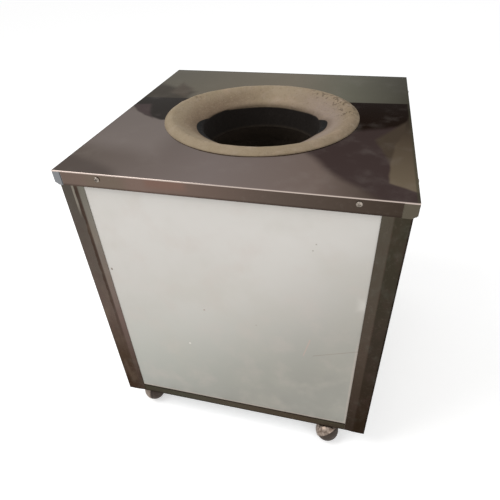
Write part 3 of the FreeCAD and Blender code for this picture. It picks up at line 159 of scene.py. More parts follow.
def patch(tree, place, corners, soft_mm, plane="XY"):
    """A share that is full inside a convex area of the sheet; its corners, in mm, run anticlockwise."""
    inside = None
    for here, there in zip(corners, corners[1:] + corners[:1]):
        run = (Vector(there) - Vector(here)).normalized()
        inwards = (-run.y, run.x, 0) if plane == "XY" else (-run.y, 0, run.x)
        depth = add_node(tree, "VectorMath", {0: place, 1: inwards}, "Value", operation="DOT_PRODUCT")
        offset = (run.y * here[0] - run.x * here[1]) * MM
        depth = add_node(tree, "Math", {0: depth, 1: offset}, operation="ADD")
        if inside is not None:
            depth = add_node(tree, "Math", {0: inside, 1: depth}, operation="MINIMUM")
        inside = depth
    return band(tree, inside, -soft_mm * MM / 2, soft_mm * MM / 2)


def oblong(left, foot, width, height):
    """The corners of an upright oblong, anticlockwise."""
    right, top = left + width, foot + height
    return [(left, foot), (right, foot), (right, top), (left, top)]


def drift(tree, place, size_mm, most_mm):
    """Places moved about by up to most_mm, so that what is laid on them gets a wandering edge."""
    cloud = add_node(tree, "TexNoise", {"Vector": place, "Scale": 1 / (size_mm * MM), "Detail": 2.0}, "Color")
    shift = add_node(tree, "VectorMath", {0: cloud, 1: (0.5, 0.5, 0.5)}, operation="SUBTRACT")
    # The noise strays from its middle by about a third at most, so the shift is made three times as long
    shift = add_node(tree, "VectorMath", {0: shift, "Scale": most_mm * MM * 3}, operation="SCALE")
    return add_node(tree, "VectorMath", {0: place, 1: shift}, operation="ADD")


def put_on(tree, shader, colour, roughness, depth_mm, *heights):
    """Join colour, roughness and relief to the shader; each height is its weight and its share."""
    tree.links.new(colour, shader.inputs["Base Color"])
    tree.links.new(roughness, shader.inputs["Roughness"])
    total = None
    for weight, height in heights:
        part = add_node(tree, "Math", {0: height, 1: weight}, operation="MULTIPLY")
        total = part if total is None else add_node(tree, "Math", {0: total, 1: part}, operation="ADD")
    normal = add_node(tree, "Bump", {"Height": total, "Distance": depth_mm * MM})
    tree.links.new(normal, shader.inputs["Normal"])


# ---------------------------------------------------------------- steel
# Areas of the cover's top in painted reflections and painted shade: corners in mm, to the right and
# back, anticlockwise
LEFT_PALE_REFLECTION = [(-320, -190), (-150, -215), (-140, -40), (-320, 20)]
FRONT_LEFT_SHADE = [(-330, -330), (-150, -330), (-200, -285), (-330, -225)]
LEFT_DARK_REFLECTION = [(-320, 96), (-320, 30), (-276, -12), (-245, -38), (-204, -53), (-150, -50), (-150, 92)]
LEFT_DARK_REFLECTION_EDGE = [(-310, 26), (-270, -20), (-232, -45), (-268, 30)]
RIGHT_DARK_REFLECTION = [(70, -110), (98, -165), (178, -240), (255, -330), (330, -330), (330, 130), (70, 130)]
RIGHT_DARK_REFLECTION_HEART = [(175, -62), (330, -12), (330, 130), (175, 130)]
OLIVE_FRINGE = [(238, -90), (262, -190), (310, -230), (305, 20)]
OLIVE_WEDGE = [(260, -250), (320, -284), (320, 30), (300, 30), (260, -190)]
REAR_LEFT_SHADE = [(-320, 60), (-196, 60), (-196, 128), (-320, 185)]
REAR_LEFT_BROWN = [(-252, 120), (-206, 90), (-206, 150), (-246, 190)]


def cover_top(tree, place, loose, across, along):
    """The colour of the cover's top in painted reflections: mauve grey in front, dark brown left and right,
    olive grey behind.
    """
    front = tones(tree, across, (-0.305, "#6f655e"), (-0.03, "#7e736f"), (0.15, "#74665f"), (0.27, "#3e352e"))
    olive = tones(tree, along, (-0.27, "#6f6353"), (-0.10, "#574c40"), (0.02, "#3a322b"))
    rear = tones(tree, across, (-0.30, "#746f63"), (0.03, "#887f70"), (0.16, "#757365"), (0.295, "#504d43"))
    # The edge of the rear tone runs a little askew across the sheet
    askew = add_node(tree, "VectorMath", {0: place, 1: (-0.0525, 1, 0)}, "Value", operation="DOT_PRODUCT")
    at_rear = band(tree, askew, 0.0912, 0.0934)
    rear_bend = band(tree, along, COVER_HALF - 0.0065, COVER_HALF - 0.0045)
    right_bend = band(tree, across, COVER_HALF - 0.0060, COVER_HALF - 0.0040)
    return coats(
        tree, front,
        (patch(tree, loose, LEFT_PALE_REFLECTION, 70), "#857b76"),
        (patch(tree, loose, FRONT_LEFT_SHADE, 34), "#635a55"),
        (patch(tree, loose, LEFT_DARK_REFLECTION, 10), "#3f3b38"),
        (patch(tree, loose, LEFT_DARK_REFLECTION_EDGE, 10), "#574c4b"),
        (patch(tree, loose, RIGHT_DARK_REFLECTION, 24), "#453a38"),
        (patch(tree, loose, RIGHT_DARK_REFLECTION_HEART, 24), "#261e1a"),
        (patch(tree, loose, OLIVE_FRINGE, 12), "#4e443a"),
        (patch(tree, loose, OLIVE_WEDGE, 6), olive),
        (at_rear, rear),
        (both(tree, at_rear, patch(tree, loose, REAR_LEFT_SHADE, 26)), "#554f47"),
        (both(tree, at_rear, patch(tree, loose, REAR_LEFT_BROWN, 20)), "#645b51"),
        (mottle(tree, place, 45, 0.5, 0.8, most=0.12), "#9a928b"),
        # Painted dark reflections along the rear and right bends
        (both(tree, rear_bend, 0.7), "#3f3d32"),
        (both(tree, right_bend, 0.6), "#4a483c"))


def cover_skirt(tree, place, loose, across, along, up):
    """The colour of the cover's folded skirt in painted reflections: browner than the top, darkest at the
    right end and the foot.
    """
    aside, away = from_middle(tree, across, along)
    facing = add_node(tree, "Math", {0: away, 1: aside}, operation="GREATER_THAN")
    side = tones(tree, along, (-0.30, "#51473f"), (-0.08, "#60534b"), (0.12, "#584d45"), (0.30, "#473e37"))
    front = tones(tree, across, (-0.282, "#63554d"), (-0.14, "#6b5a52"), (0.08, "#51463f"), (0.28, "#3a312a"))
    front = coats(
        tree, front,
        # Paler painted reflections on the front skirt
        (patch(tree, loose, oblong(-242, 660, 72, 40), 30, "XZ"), "#64584e"),
        (patch(tree, loose, oblong(-130, 676, 70, 24), 14, "XZ"), "#6c564d"),
        (band(tree, up, SKIRT_FOOT + 0.0050, SKIRT_FOOT + 0.0005, most=0.55), "#2a221d"),
        # The corner tabs that lap over the ends: a pale painted reflection on the left, a dark one on the
        # right
        (band(tree, across, -0.2886, -0.2892), "#767779"),
        (band(tree, across, 0.2818, 0.2826), "#544e43"))
    return coats(tree, side, (facing, front), (mottle(tree, place, 9, 0.52, 0.8, most=0.06), "#8a8078"))


def cover_steel():
    """Polished stainless sheet, smooth as a mirror, toned in painted reflections: mauve grey, umber left and
    right of the mouth, olive behind it, and a painted highlight along the bend of its front edge."""
    material, tree, shader, place = start_finish("polished_stainless_cover", DULLED_METAL)
    across, along, up = axes(tree, place)
    loose = drift(tree, place, 70, 6)
    bend = band(tree, up, COVER_TOP - 0.0030, COVER_TOP - 0.0018, COVER_TOP - 0.0008, COVER_TOP)
    front_bend_highlight = both(tree, bend, band(tree, along, 0.0040 - COVER_HALF, 0.0032 - COVER_HALF))
    on_top = band(tree, up, COVER_TOP - 0.0020, COVER_TOP - 0.0006)
    colour = coats(
        tree, cover_skirt(tree, place, loose, across, along, up),
        (on_top, cover_top(tree, place, loose, across, along)),
        # Painted highlights along the rounded bends, brightest along the front edge
        (both(tree, bend, 0.35), "#a0958c"),
        (front_bend_highlight, "#c0b1a8"))
    # Real polishing lines are too fine to show, so they are drawn 2 mm apart
    put_on(tree, shader, colour, mottle(tree, place, 90, least=0.12, most=0.22), 0.05,
           (1.0, mottle(tree, place, 130, detail=2.0)),
           (0.02, mottle(tree, place, 2.0, detail=4.0, stretch=(0.02, 1, 1))))
    return material


# Across a corner trim, in metres from the corner: a painted highlight and a painted shadow along the
# fold, and the inner lip
TRIM_FOLD_HIGHLIGHT = (0.0208, 0.0218, 0.0252, 0.0262)
TRIM_FOLD_SHADOW = (0.0258, 0.0275)
TRIM_LIP = (0.0310, 0.0350)
# On the right the lip starts this much nearer to the corner
RIGHT_LIP_LEAD = 0.006


def trim_steel():
    """Polished stainless strip folded round a corner, toned in painted reflections: a dulled outer face, a
    painted highlight and a painted shadow along the fold and a paler inner lip, all darker and browner
    towards the foot; the right-hand trims are painted darker, in painted shade."""
    material, tree, shader, place = start_finish("polished_stainless_trim", DULLED_METAL)
    across, along, up = axes(tree, place)
    aside, away = from_middle(tree, across, along)
    nearest = add_node(tree, "Math", {0: away, 1: aside}, operation="MINIMUM")
    inwards = add_node(tree, "Math", {0: CABINET_HALF, 1: nearest}, operation="SUBTRACT")
    # The trims left of the oven's middle, and those right of it, which are painted darker, in painted shade
    left = band(tree, across, 0.01, -0.01)
    right = band(tree, across, -0.01, 0.01)
    # Outer face and inner lip toned in painted reflections, the right-hand ones darker as painted shade
    outer = coats(
        tree, tones(tree, up, (0.10, "#3b2e25"), (0.20, "#45382e"), (0.34, "#574a43"), (0.66, "#4c4842")),
        (right, tones(tree, up, (0.10, "#2c231b"), (0.33, "#332c25"), (0.66, "#343127"))))
    inner = coats(
        tree, tones(tree, up, (0.10, "#40342c"), (0.33, "#665650"), (0.56, "#716b63"), (0.66, "#66635a")),
        (right, tones(tree, up, (0.10, "#352c25"), (0.33, "#463c34"), (0.66, "#4b463d"))))
    wavy = add_node(tree, "Math", {0: inwards, 1: mottle(tree, place, 30, least=-0.0014, most=0.0014)},
                    operation="ADD")
    lead = add_node(tree, "Math", {0: right, 1: RIGHT_LIP_LEAD}, operation="MULTIPLY")
    lip = add_node(tree, "Math", {0: inwards, 1: lead}, operation="ADD")
    # The right-hand trims' outer corner is painted dark, in painted shade
    corner = band(tree, inwards, 0.0045, 0.0015)
    colour = coats(
        tree, outer,
        # A painted highlight near the top of the fold, then a painted shadow along it
        (both(tree, band(tree, inwards, *TRIM_FOLD_HIGHLIGHT), band(tree, up, 0.59, 0.63), left), "#7d776d"),
        (both(tree, band(tree, wavy, *TRIM_FOLD_SHADOW), band(tree, up, 0.14, 0.50), 0.85), "#382b24"),
        (band(tree, lip, *TRIM_LIP), inner),
        (both(tree, corner, right), "#1f1813"),
        (mottle(tree, place, 40, 0.45, 0.8, most=0.30, stretch=(1, 1, 0.3)), "#3f342b"),
        (mottle(tree, place, 26, 0.45, 0.75, most=0.25, stretch=(1, 1, 0.5)), "#4a3a36"),
        # Paler clouds on the left-hand trims only, part of their painted light
        (both(tree, mottle(tree, place, 34, 0.5, 0.72, most=0.35, stretch=(1, 1, 0.45)), left), "#6b5d50"),
        (mottle(tree, place, 21, 0.52, 0.75, most=0.25, stretch=(1, 1, 0.6)), "#53524a"),
        (mottle(tree, place, 7, 0.55, 0.8, most=0.10), "#7a7067"),
        (band(tree, up, CABINET_FOOT + 0.005, CABINET_FOOT, most=0.85), "#1d1511"))
    # Polishing lines again 2 mm apart, here upright
    put_on(tree, shader, colour, mottle(tree, place, 60, least=0.22, most=0.34), 0.02,
           (1.0, mottle(tree, place, 6)), (0.3, mottle(tree, place, 2.0, detail=4.0, stretch=(1, 1, 0.02))))
    return material


def rail_steel():
    """Polished stainless foot strip toned in brown painted reflections, with scuffs; darker along both
    edges, the top one a painted shadow under the panel.
    """
    material, tree, shader, place = start_finish("polished_stainless_rail", DULLED_METAL)
    across, _, up = axes(tree, place)
    colour = coats(
        tree, tones(tree, across, (-0.27, "#3f3a31"), (-0.15, "#46433a"), (-0.02, "#4c453b"),
                    (0.14, "#483f34"), (0.27, "#3c342c")),
        (mottle(tree, place, 30, 0.45, 0.75, most=0.45, stretch=(0.4, 0.4, 1)), "#4c4b3c"),
        (mottle(tree, place, 12, 0.5, 0.8, most=0.3), "#59493e"),
        (mottle(tree, place, 5, 0.55, 0.8, most=0.15), "#857d72"),
        # A painted shadow under the panel along the top edge, and darker along the foot
        (band(tree, up, PANEL_FOOT - 0.0045, PANEL_FOOT - 0.0005, most=0.75), "#241d18"),
        (band(tree, up, CABINET_FOOT + 0.005, CABINET_FOOT, most=0.85), "#1a120e"))
    put_on(tree, shader, colour, mottle(tree, place, 50, least=0.24, most=0.40), 0.03,
           (1.0, mottle(tree, place, 5)))
    return material


def castor_nickel():
    """Dull nickel plating on pressed steel, bright and mottled with wear."""
    material, tree, shader, place = start_finish("dull_nickel_castor", METAL)
    wear = mottle(tree, place, 6, 0.35, 0.7, detail=4.0)
    colour = coats(tree, "#6d5f55", (wear, "#a39488"),
                   (mottle(tree, place, 14, 0.5, 0.8, most=0.5), "#5d5148"),
                   (mottle(tree, place, 2, 0.6, 0.8, most=0.4), "#b8ab9d"))
    put_on(tree, shader, colour, mottle(tree, place, 12, least=0.22, most=0.40), 0.05, (1.0, wear))
    return material


# ---------------------------------------------------------------- enamel, clay and the rest
# Marks on the front panel in mm, to the right and up: the scratch, the curl of paint, and each speck's left,
# foot, width and height with its colour
SCRATCH = [(168, 306), (254, 341), (254, 343), (168, 308)]
PAINT_CURL = [(147, 302), (149, 302), (161, 354), (159, 356)]
SPECKS = (((-106, 278, 4, 4), "#e6e2da"), ((-249, 470, 3, 5), "#6d5a4c"), ((-60, 393, 3, 2), "#8f6a58"),
          ((158, 592, 2, 2), "#a39a8e"), ((153, 578, 2, 2), "#a39a8e"), ((49, 372, 2, 2), "#a09488"))


def marked(tree, place, across, up, enamel):
    """The enamel with painted highlights along its foot and right edges, a soft painted glow at the right,
    the scratch, the curl and the specks.
    """
    # Painted highlights along the sheet's foot and right edges, beside the rail and the trim
    painted_edge_highlight = coats(tree, enamel, (0.6, "#cbb8ac"))
    at_foot = band(tree, up, PANEL_FOOT + 0.006, PANEL_FOOT + 0.003)
    at_right = both(tree, band(tree, across, 0.2485, 0.2510), band(tree, up, 0.40, 0.33))
    return coats(
        tree, enamel,
        (both(tree, at_foot, 0.6), painted_edge_highlight),
        (both(tree, at_right, 0.5), painted_edge_highlight),
        (both(tree, patch(tree, place, oblong(243, 456, 19, 24), 22, "XZ"), 0.5), "#dedad2"),
        (both(tree, patch(tree, place, SCRATCH, 1.4, "XZ"), 0.55), "#8d7f72"),
        (both(tree, patch(tree, place, PAINT_CURL, 2.0, "XZ"), 0.5), "#c9a79a"),
        *((patch(tree, place, oblong(*spot), 2.0, "XZ"), tone) for spot, tone in SPECKS))


def panel_enamel(name, marks):
    """Off-white stoving enamel on thin sheet: a faint orange peel, painted shade greying it towards the foot
    and the lower right, with clouds, and grime with painted shade along the foot. The front sheet has marks
    of its own."""
    material, tree, shader, place = start_finish(name, {"Specular IOR Level": 0.4})
    across, _, up = axes(tree, place)
    slant = add_node(tree, "Math", {0: across, 1: up}, operation="SUBTRACT")
    # Grime along the foot, mottled, standing also for painted shade
    dirt_and_shade = both(tree, band(tree, up, 0.118, PANEL_FOOT), mottle(tree, place, 22, most=0.35))
    colour = coats(
        # Painted shade: greyer towards the foot, and greyer again towards the lower right along the slant
        tree, tones(tree, up, (0.09, "#aaaba3"), (0.22, "#b6b6ad"), (0.44, "#cfcbc4"), (0.60, "#d9d5cf")),
        (band(tree, slant, -0.50, 0.0, most=0.74), "#8d8a80"),
        (mottle(tree, place, 110, 0.4, 0.75, most=0.22), "#b9b4a6"),
        (mottle(tree, place, 60, 0.45, 0.75, most=0.20), "#cdbfb6"),
        (dirt_and_shade, "#8b887d"))
    if marks:
        colour = marked(tree, place, across, up, colour)
    peel = mottle(tree, place, 2.6, detail=2.0)
    dents = mottle(tree, place, 45, detail=2.0)
    put_on(tree, shader, colour, mottle(tree, place, 130, least=0.34, most=0.46), 0.03,
           (1.0, peel), (1.0, dents))
    return material


# Where the painted shade over sooty clay climbs the funnel: the way each tongue points, about the
# cosine of half its width, and how far it climbs, in metres
SOOT_AND_SHADE_TONGUES = (((-0.88, -0.47, 0), 0.80, 0.0125), ((1.0, -0.02, 0), 0.93, 0.0145))
# The stretch of the rim where pits lie thick: corners in mm, to the right and back
PITTED_RIM = [(150, 10), (215, 10), (215, 90), (95, 170), (70, 130)]


def throat_soot_and_shade(tree, flat, out, along, up):
    """The share of sooty black and painted shade, and a radius reckoned so that its edge stands at the same
    value all round.
    """
    heading = add_node(tree, "VectorMath", {0: flat}, operation="NORMALIZE")
    # At the back the painted shade starts a little way down the bore
    at_back = band(tree, along, 0.06, 0.12, most=0.006)
    soot_and_shade_reach = add_node(tree, "Math", {0: out, 1: at_back}, operation="ADD")
    for way, starts, climb in SOOT_AND_SHADE_TONGUES:
        turned = add_node(tree, "VectorMath", {0: heading, 1: way}, "Value", operation="DOT_PRODUCT")
        soot_and_shade_reach = add_node(tree, "Math", {0: soot_and_shade_reach, 1: band(tree, turned, starts, 1.0, most=climb)},
                          operation="SUBTRACT")
    dipped = add_node(tree, "Math", {0: up, 1: at_back}, operation="ADD")
    in_bore = band(tree, dipped, THROAT_EDGE + 0.0005, THROAT_EDGE - 0.0030)
    on_funnel = band(tree, soot_and_shade_reach, THROAT_RADIUS + 0.0019, THROAT_RADIUS + 0.0003)
    return add_node(tree, "Math", {0: in_bore, 1: on_funnel}, operation="MAXIMUM"), soot_and_shade_reach


def fired_clay():
    """Hand-moulded clay, dried and fired: sandy and matt, smeared and pitted. Painted shade over sooty clay
    blackens the throat, climbs the funnel at the left and right, and thins out down the pot. Painted shade
    also darkens the funnel's left slope and its edge towards the throat."""
    material, tree, shader, place = start_finish("fired_clay", {"Specular IOR Level": 0.2})
    across, along, up = axes(tree, place)
    flat = add_node(tree, "VectorMath", {0: place, 1: (1, 1, 0)}, operation="MULTIPLY")
    out = add_node(tree, "VectorMath", {0: flat}, "Value", operation="LENGTH")
    ragged = mottle(tree, place, 20, least=-0.0015, most=0.0015)
    reach = add_node(tree, "Math", {0: out, 1: ragged}, operation="ADD")
    # How far to the left and a little back: painted shade makes the funnel brownest there
    leftwards = add_node(tree, "VectorMath", {0: place, 1: (-0.95, 0.3, 0)}, "Value", operation="DOT_PRODUCT")
    smears = mottle(tree, place, 18, 0.45, 0.75, detail=4.0, stretch=(1, 1, 0.6))
    # Real grit is finer; it is drawn as 2.2 mm grains so that it shows
    grit = mottle(tree, place, 2.2, 0.3, 0.75, detail=4.0)
    spoilt = both(tree, patch(tree, place, PITTED_RIM, 30), band(tree, out, 0.150, 0.176))
    thinly = mottle(tree, place, 60, 0.62, 0.76)
    pitted = add_node(tree, "Math", {0: spoilt, 1: thinly}, operation="MAXIMUM")
    pits = both(tree, mottle(tree, place, 8, 0.56, 0.64), pitted)
    # Painted shade on the funnel's left slope, which faces away from the light
    left_funnel_shade = both(tree, band(tree, reach, 0.182, 0.140), band(tree, leftwards, 0.04, 0.14))
    mauve_funnel = both(tree, band(tree, reach, 0.182, 0.150), band(tree, across, 0.02, 0.14))
    cloudy_neck = both(tree, band(tree, reach, 0.165, 0.140), mottle(tree, place, 12, 0.45, 0.75, most=0.4))
    worn_lip = band(tree, reach, 0.1960, 0.2030, most=0.5)
    # Sooty clay under painted shade: black in the throat and in two tongues up the funnel
    soot_and_shade, soot_and_shade_reach = throat_soot_and_shade(tree, flat, out, along, up)
    # Painted shade where the funnel curves down into the throat
    funnel_edge_shade = band(tree, soot_and_shade_reach, THROAT_RADIUS + 0.0175, THROAT_RADIUS + 0.0015, most=0.5)
    # Painted shade over sooty clay: lighter further down the pot, blackest at the edge of the throat
    soot_and_shade_tone = tones(tree, up, (0.30, "#5a4e42"), (0.612, "#4a4036"), (0.625, "#241f1b"), (0.671, "#1d1815"),
                      (0.676, "#080706"))
    colour = coats(
        tree, tones(tree, across, (-0.19, "#8f806a"), (0.0, "#988873"), (0.19, "#84735f")),
        (mottle(tree, place, 60, 0.35, 0.7, most=0.45), "#7f6f55"),
        (both(tree, mottle(tree, place, 38, 0.5, 0.75), 0.5), "#a08a76"),
        (both(tree, smears, 0.40), "#a09080"),
        (left_funnel_shade, "#6f5d4b"),
        (mauve_funnel, "#8d7d72"),
        (cloudy_neck, "#8a7862"),
        (worn_lip, "#746553"),
        (mottle(tree, place, 5, 0.55, 0.75, most=0.30), "#a5977f"),
        (mottle(tree, place, 7, 0.45, 0.25, most=0.35), "#6b5c47"),
        (both(tree, grit, 0.16), "#b8a98f"),
        (both(tree, pits, 0.5), "#57493b"),
        (funnel_edge_shade, "#5a4a3c"),
        (soot_and_shade, soot_and_shade_tone))
    put_on(tree, shader, colour, mottle(tree, place, 40, least=0.86, most=0.96), 0.8,
           (0.35, grit), (1.2, smears), (-2.2, pits))
    return material


def grained(name, light, dark, constants, grain_mm, smoothest, roughest, depth_mm=0.02, stretch=(1, 1, 1)):
    """Small and inner parts: two close tones in their own grain, duller in patches nine grains across."""
    material, tree, shader, place = start_finish(name, constants)
    grain = mottle(tree, place, grain_mm, detail=5.0, stretch=stretch)
    dulled = mottle(tree, place, grain_mm * 9)
    colour = coats(tree, dark, (grain, light), (both(tree, dulled, 0.35), dark))
    rough = add_node(tree, "MapRange", {"Value": dulled, "To Min": smoothest, "To Max": roughest})
    put_on(tree, shader, colour, rough, depth_mm, (1.0, grain))
    return material


# The knob's index line in mm: left, foot, width and height; it shows only on the knob's face, which starts
# this far back, in metres
INDEX_LINE = (197.1, 549.5, 1.8, 8.0)
INDEX_FACE = (0.3165, 0.3170)


def knob_resin():
    """Phenolic resin knob: black with a soft gloss, and a white-filled index line on its face."""
    material, tree, shader, place = start_finish("black_phenolic_knob", {})
    grain = mottle(tree, place, 1.2, detail=5.0)
    _, along, _ = axes(tree, place)
    line = both(tree, patch(tree, place, oblong(*INDEX_LINE), 0.5, "XZ"), band(tree, along, *INDEX_FACE))
    colour = coats(tree, "#181716", (grain, "#222120"), (line, "#dcd9d0"))
    put_on(tree, shader, colour, mottle(tree, place, 11, least=0.24, most=0.38), 0.02, (1.0, grain))
    return material


def castor_tread(painted_lit_side):
    """Hard dark rubber with scuffs; on the front left wheel the outer side is painted pale, as painted
    light mottled like dust.
    """
    material, tree, shader, place = start_finish("castor_wheel_rubber", {"Specular IOR Level": 0.35})
    scuffs = mottle(tree, place, 3, 0.4, 0.75, detail=4.0)
    colour = coats(tree, "#3b3028", (both(tree, scuffs, 0.5), "#4a3f35"))
    if painted_lit_side:
        # The outer side is painted pale, painted light mottled like dust, beside a dark groove
        across, _, _ = axes(tree, drift(tree, place, 8, 1.2))
        lit_outer_side = band(tree, across, -0.246, -0.252)
        dark_groove = band(tree, across, -0.2465, -0.2450, -0.2435, -0.2420)
        colour = coats(tree, colour, (lit_outer_side, "#85776c"),
                       (both(tree, lit_outer_side, mottle(tree, place, 5)), "#a19387"), (dark_groove, "#2c231d"))
    put_on(tree, shader, colour, mottle(tree, place, 10, least=0.55, most=0.75), 0.1, (1.0, scuffs))
    return material


def lens_plastic(name, colour, deep):
    """Clear tinted polycarbonate lens: glossy and faintly ribbed, and it lets a little light through."""
    material, tree, shader, place = start_finish(name, {"Transmission Weight": 0.25, "IOR": 1.58})
    ribs = mottle(tree, place, 1.6, 0.4, 0.6, detail=2.0)
    put_on(tree, shader, coats(tree, deep, (ribs, colour)), mottle(tree, place, 5, least=0.08, most=0.16),
           0.05, (1.0, ribs))
    return material


# ---------------------------------------------------------------- the clay collar
# Corners of the collar's section in mm: radius, height and how far each is rounded
COLLAR_SECTION = {"foot of the bore": (124.5, 618.0, 0), "foot of the neck": (145.5, 618.0, 0),
                  "under the flare": (192.5, 681.0, 0), "inside the cover's hole": (194.5, 692.5, 0),
                  "underside of the lip": (204.0, 693.2, 0), "lip": (204.2, 696.8, 2.0),
                  "crest": (191.0, 704.1, 7.0), "edge of the throat": (124.5, 673.0, 4.0)}
COLLAR_STEPS = 180
# Below this height, in metres, the clay was shaped on a former and stays true
FORMER_TOP = 0.66
# Where in the noise the swells round the rim are read, and how close together swells, dents and pits lie
SWELL_START = Vector((3.1, 0.4, 7.0))
SWELLS, DENTS, PITS = 2.3, 28, 95
# How far hands moved the clay, in metres: swells and dents at the lip; swells, dents and pits on the top;
# dents and pits in the funnel; and how far the far rim sank
LIP_IN = (0.0022, 0.0012)
TOP_DOWN = (0.0014, 0.0010, 0.0004)
FUNNEL_OUT = (0.0012, 0.0004)
FAR_RIM_DROP = 0.0025
# The share of its depth that the crest loses, and what the lip gets back of it to cover the sheet's edge
CREST_PRESSED = 0.060
LIP_GIVEN_BACK = 0.032


def part_way(value, none, full):
    """How far a value has come from none, 0, to full, 1."""
    return max(0.0, min(1.0, (value - none) / (full - none)))


def finished_piece(name, shape, material, body, replaced, smooth_angle):
    """Turn a bmesh into a piece of the oven: normals out, smooth within an angle, riding on its body."""
    bmesh.ops.remove_doubles(shape, verts=shape.verts, dist=1e-6)
    bmesh.ops.recalc_face_normals(shape, faces=shape.faces)
    mesh = bpy.data.meshes.new(name)
    shape.to_mesh(mesh)
    shape.free()
    mesh.materials.append(material)
    mesh.shade_smooth()
    mesh.set_sharp_from_angle(angle=radians(smooth_angle))
    piece = bpy.data.objects.new(name, mesh)
    scene.collection.objects.link(piece)
    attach(piece, body)
    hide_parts(replaced)
    return piece


def spun(section, steps):
    """Turn a closed section once about Z; each corner has a radius, a height and a rounding, in mm."""
    shape = bmesh.new()
    points = [shape.verts.new((radius * MM, 0, height * MM)) for radius, height, _ in section]
    for here, there in zip(points, points[1:] + points[:1]):
        shape.edges.new((here, there))
    for point, (_, _, rounding) in zip(points, section):
        if rounding:
            bmesh.ops.bevel(shape, geom=[point], offset=rounding * MM, offset_type="OFFSET", segments=7,
                            profile=0.5, affect="VERTICES", material=-1)
    bmesh.ops.spin(shape, geom=shape.verts[:] + shape.edges[:], cent=(0, 0, 0), axis=(0, 0, 1), angle=2 * pi,
                   steps=steps, use_merge=True)
    bmesh.ops.remove_doubles(shape, verts=shape.verts, dist=1e-6)
    return shape


def work_by_hand(vert):
    """Move one point of the collar as hands moved wet clay: an uneven lip, a low far rim, an oval crest."""
    radius = hypot(vert.co.x, vert.co.y)
    out = Vector((vert.co.x / radius, vert.co.y / radius, 0))
    swell = 0.5 + 0.5 * noise.noise(out * SWELLS + SWELL_START)
    dent = noise.noise(vert.co * DENTS)
    pit = noise.noise(vert.co * PITS)
    at_lip = part_way(radius, 0.170, 0.200)
    above = part_way(vert.co.z, 0.6935, 0.6975)
    vert.co -= out * (LIP_IN[0] * swell + LIP_IN[1] * (0.5 + 0.5 * dent)) * at_lip * above
    vert.co.z -= (TOP_DOWN[0] * swell + TOP_DOWN[1] * abs(dent) + TOP_DOWN[2] * abs(pit)) * above
    vert.co.z -= FAR_RIM_DROP * part_way(out.y, 0.2, 1.0) * above
    if not above and radius < 0.170:
        vert.co += out * (FUNNEL_OUT[0] * dent + FUNNEL_OUT[1] * pit)
    pressed = CREST_PRESSED * part_way(radius, 0.130, 0.170) - LIP_GIVEN_BACK * part_way(radius, 0.191, 0.204)
    vert.co.y *= 1 - pressed


def mouth_collar(clay):
    """The moulded clay collar: funnel, low crest and uneven outer lip, worked by hand so no line is true."""
    shape = spun(COLLAR_SECTION.values(), COLLAR_STEPS)
    for vert in shape.verts:
        if vert.co.z >= FORMER_TOP:
            work_by_hand(vert)
    return finished_piece("clay_mouth_collar", shape, clay, "cabinet", "mouth_collar", 60)


# ---------------------------------------------------------------- finishes for the frame's own nodes
def dress(material, *starts):
    """Give the nodes whose names start so a finish; their meshes stay as they are."""
    for name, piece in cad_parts.items():
        if name.startswith(starts):
            piece.data.materials.clear()
            piece.data.materials.append(material)


def dress_outside(clay):
    """The finishes that show: cover, trims, rails, panels, clay and castors."""
    dress(cover_steel(), "top_cover")
    dress(trim_steel(), "corner_trim")
    dress(rail_steel(), "bottom_rail")
    dress(panel_enamel("off_white_enamel", False), "left_panel", "right_panel", "rear_panel")
    dress(panel_enamel("off_white_enamel_marked", True), "front_panel")
    dress(clay, "clay_pot", "hearth", "mouth_collar")
    dress(castor_nickel(), "castor_hood", "castor_plate", "castor_axle")
    dress(castor_tread(False), "castor_wheel")
    dress(castor_tread(True), "castor_wheel_front_left")


def dress_metal():
    """Small metal parts and those inside the cabinet. The thermostat's spindle and tube lose their moulding's
    finish here."""
    # Zinc plate: a grey, slightly cloudy metal
    dress(grained("zinc_plated_steel", "#a39e95", "#7d776e", DULLED_METAL, 1.5, 0.28, 0.42), "plate_screws",
          "castor_bolts", "element_clips", "thermostat_spindle", "thermostat_capillary")
    # Polished stainless screw heads, dulled by handling
    dress(grained("stainless_screw_heads", "#a39a90", "#746b62", DULLED_METAL, 1.5, 0.28, 0.42),
          "cover_screws")
    # Hot-dip galvanised sheet: large pale flakes
    dress(grained("galvanised_sheet", "#a7aaa9", "#8a8e8e", METAL, 9.0, 0.38, 0.55), "base_pan",
          "drum_shell", "drum_floor", "control_box")
    # Brushed stainless: parallel lines across the plate, drawn coarser than they are so that they show
    dress(grained("brushed_stainless_plate", "#a8a5a0", "#918d88", METAL, 1.2, 0.25, 0.38,
                  stretch=(0.03, 1, 1)), "control_plate")
    # Nickel-alloy sheath after heating: nearly black, dry oxide
    dress(grained("oxidised_element_sheath", "#3b3631", "#26221f", METAL, 4.0, 0.55, 0.70), "heating_element")
    # Turned brass: warm yellow, a little tarnished
    dress(grained("brass_stud", "#c9a352", "#a88238", METAL, 2.0, 0.28, 0.42), "earth_stud")


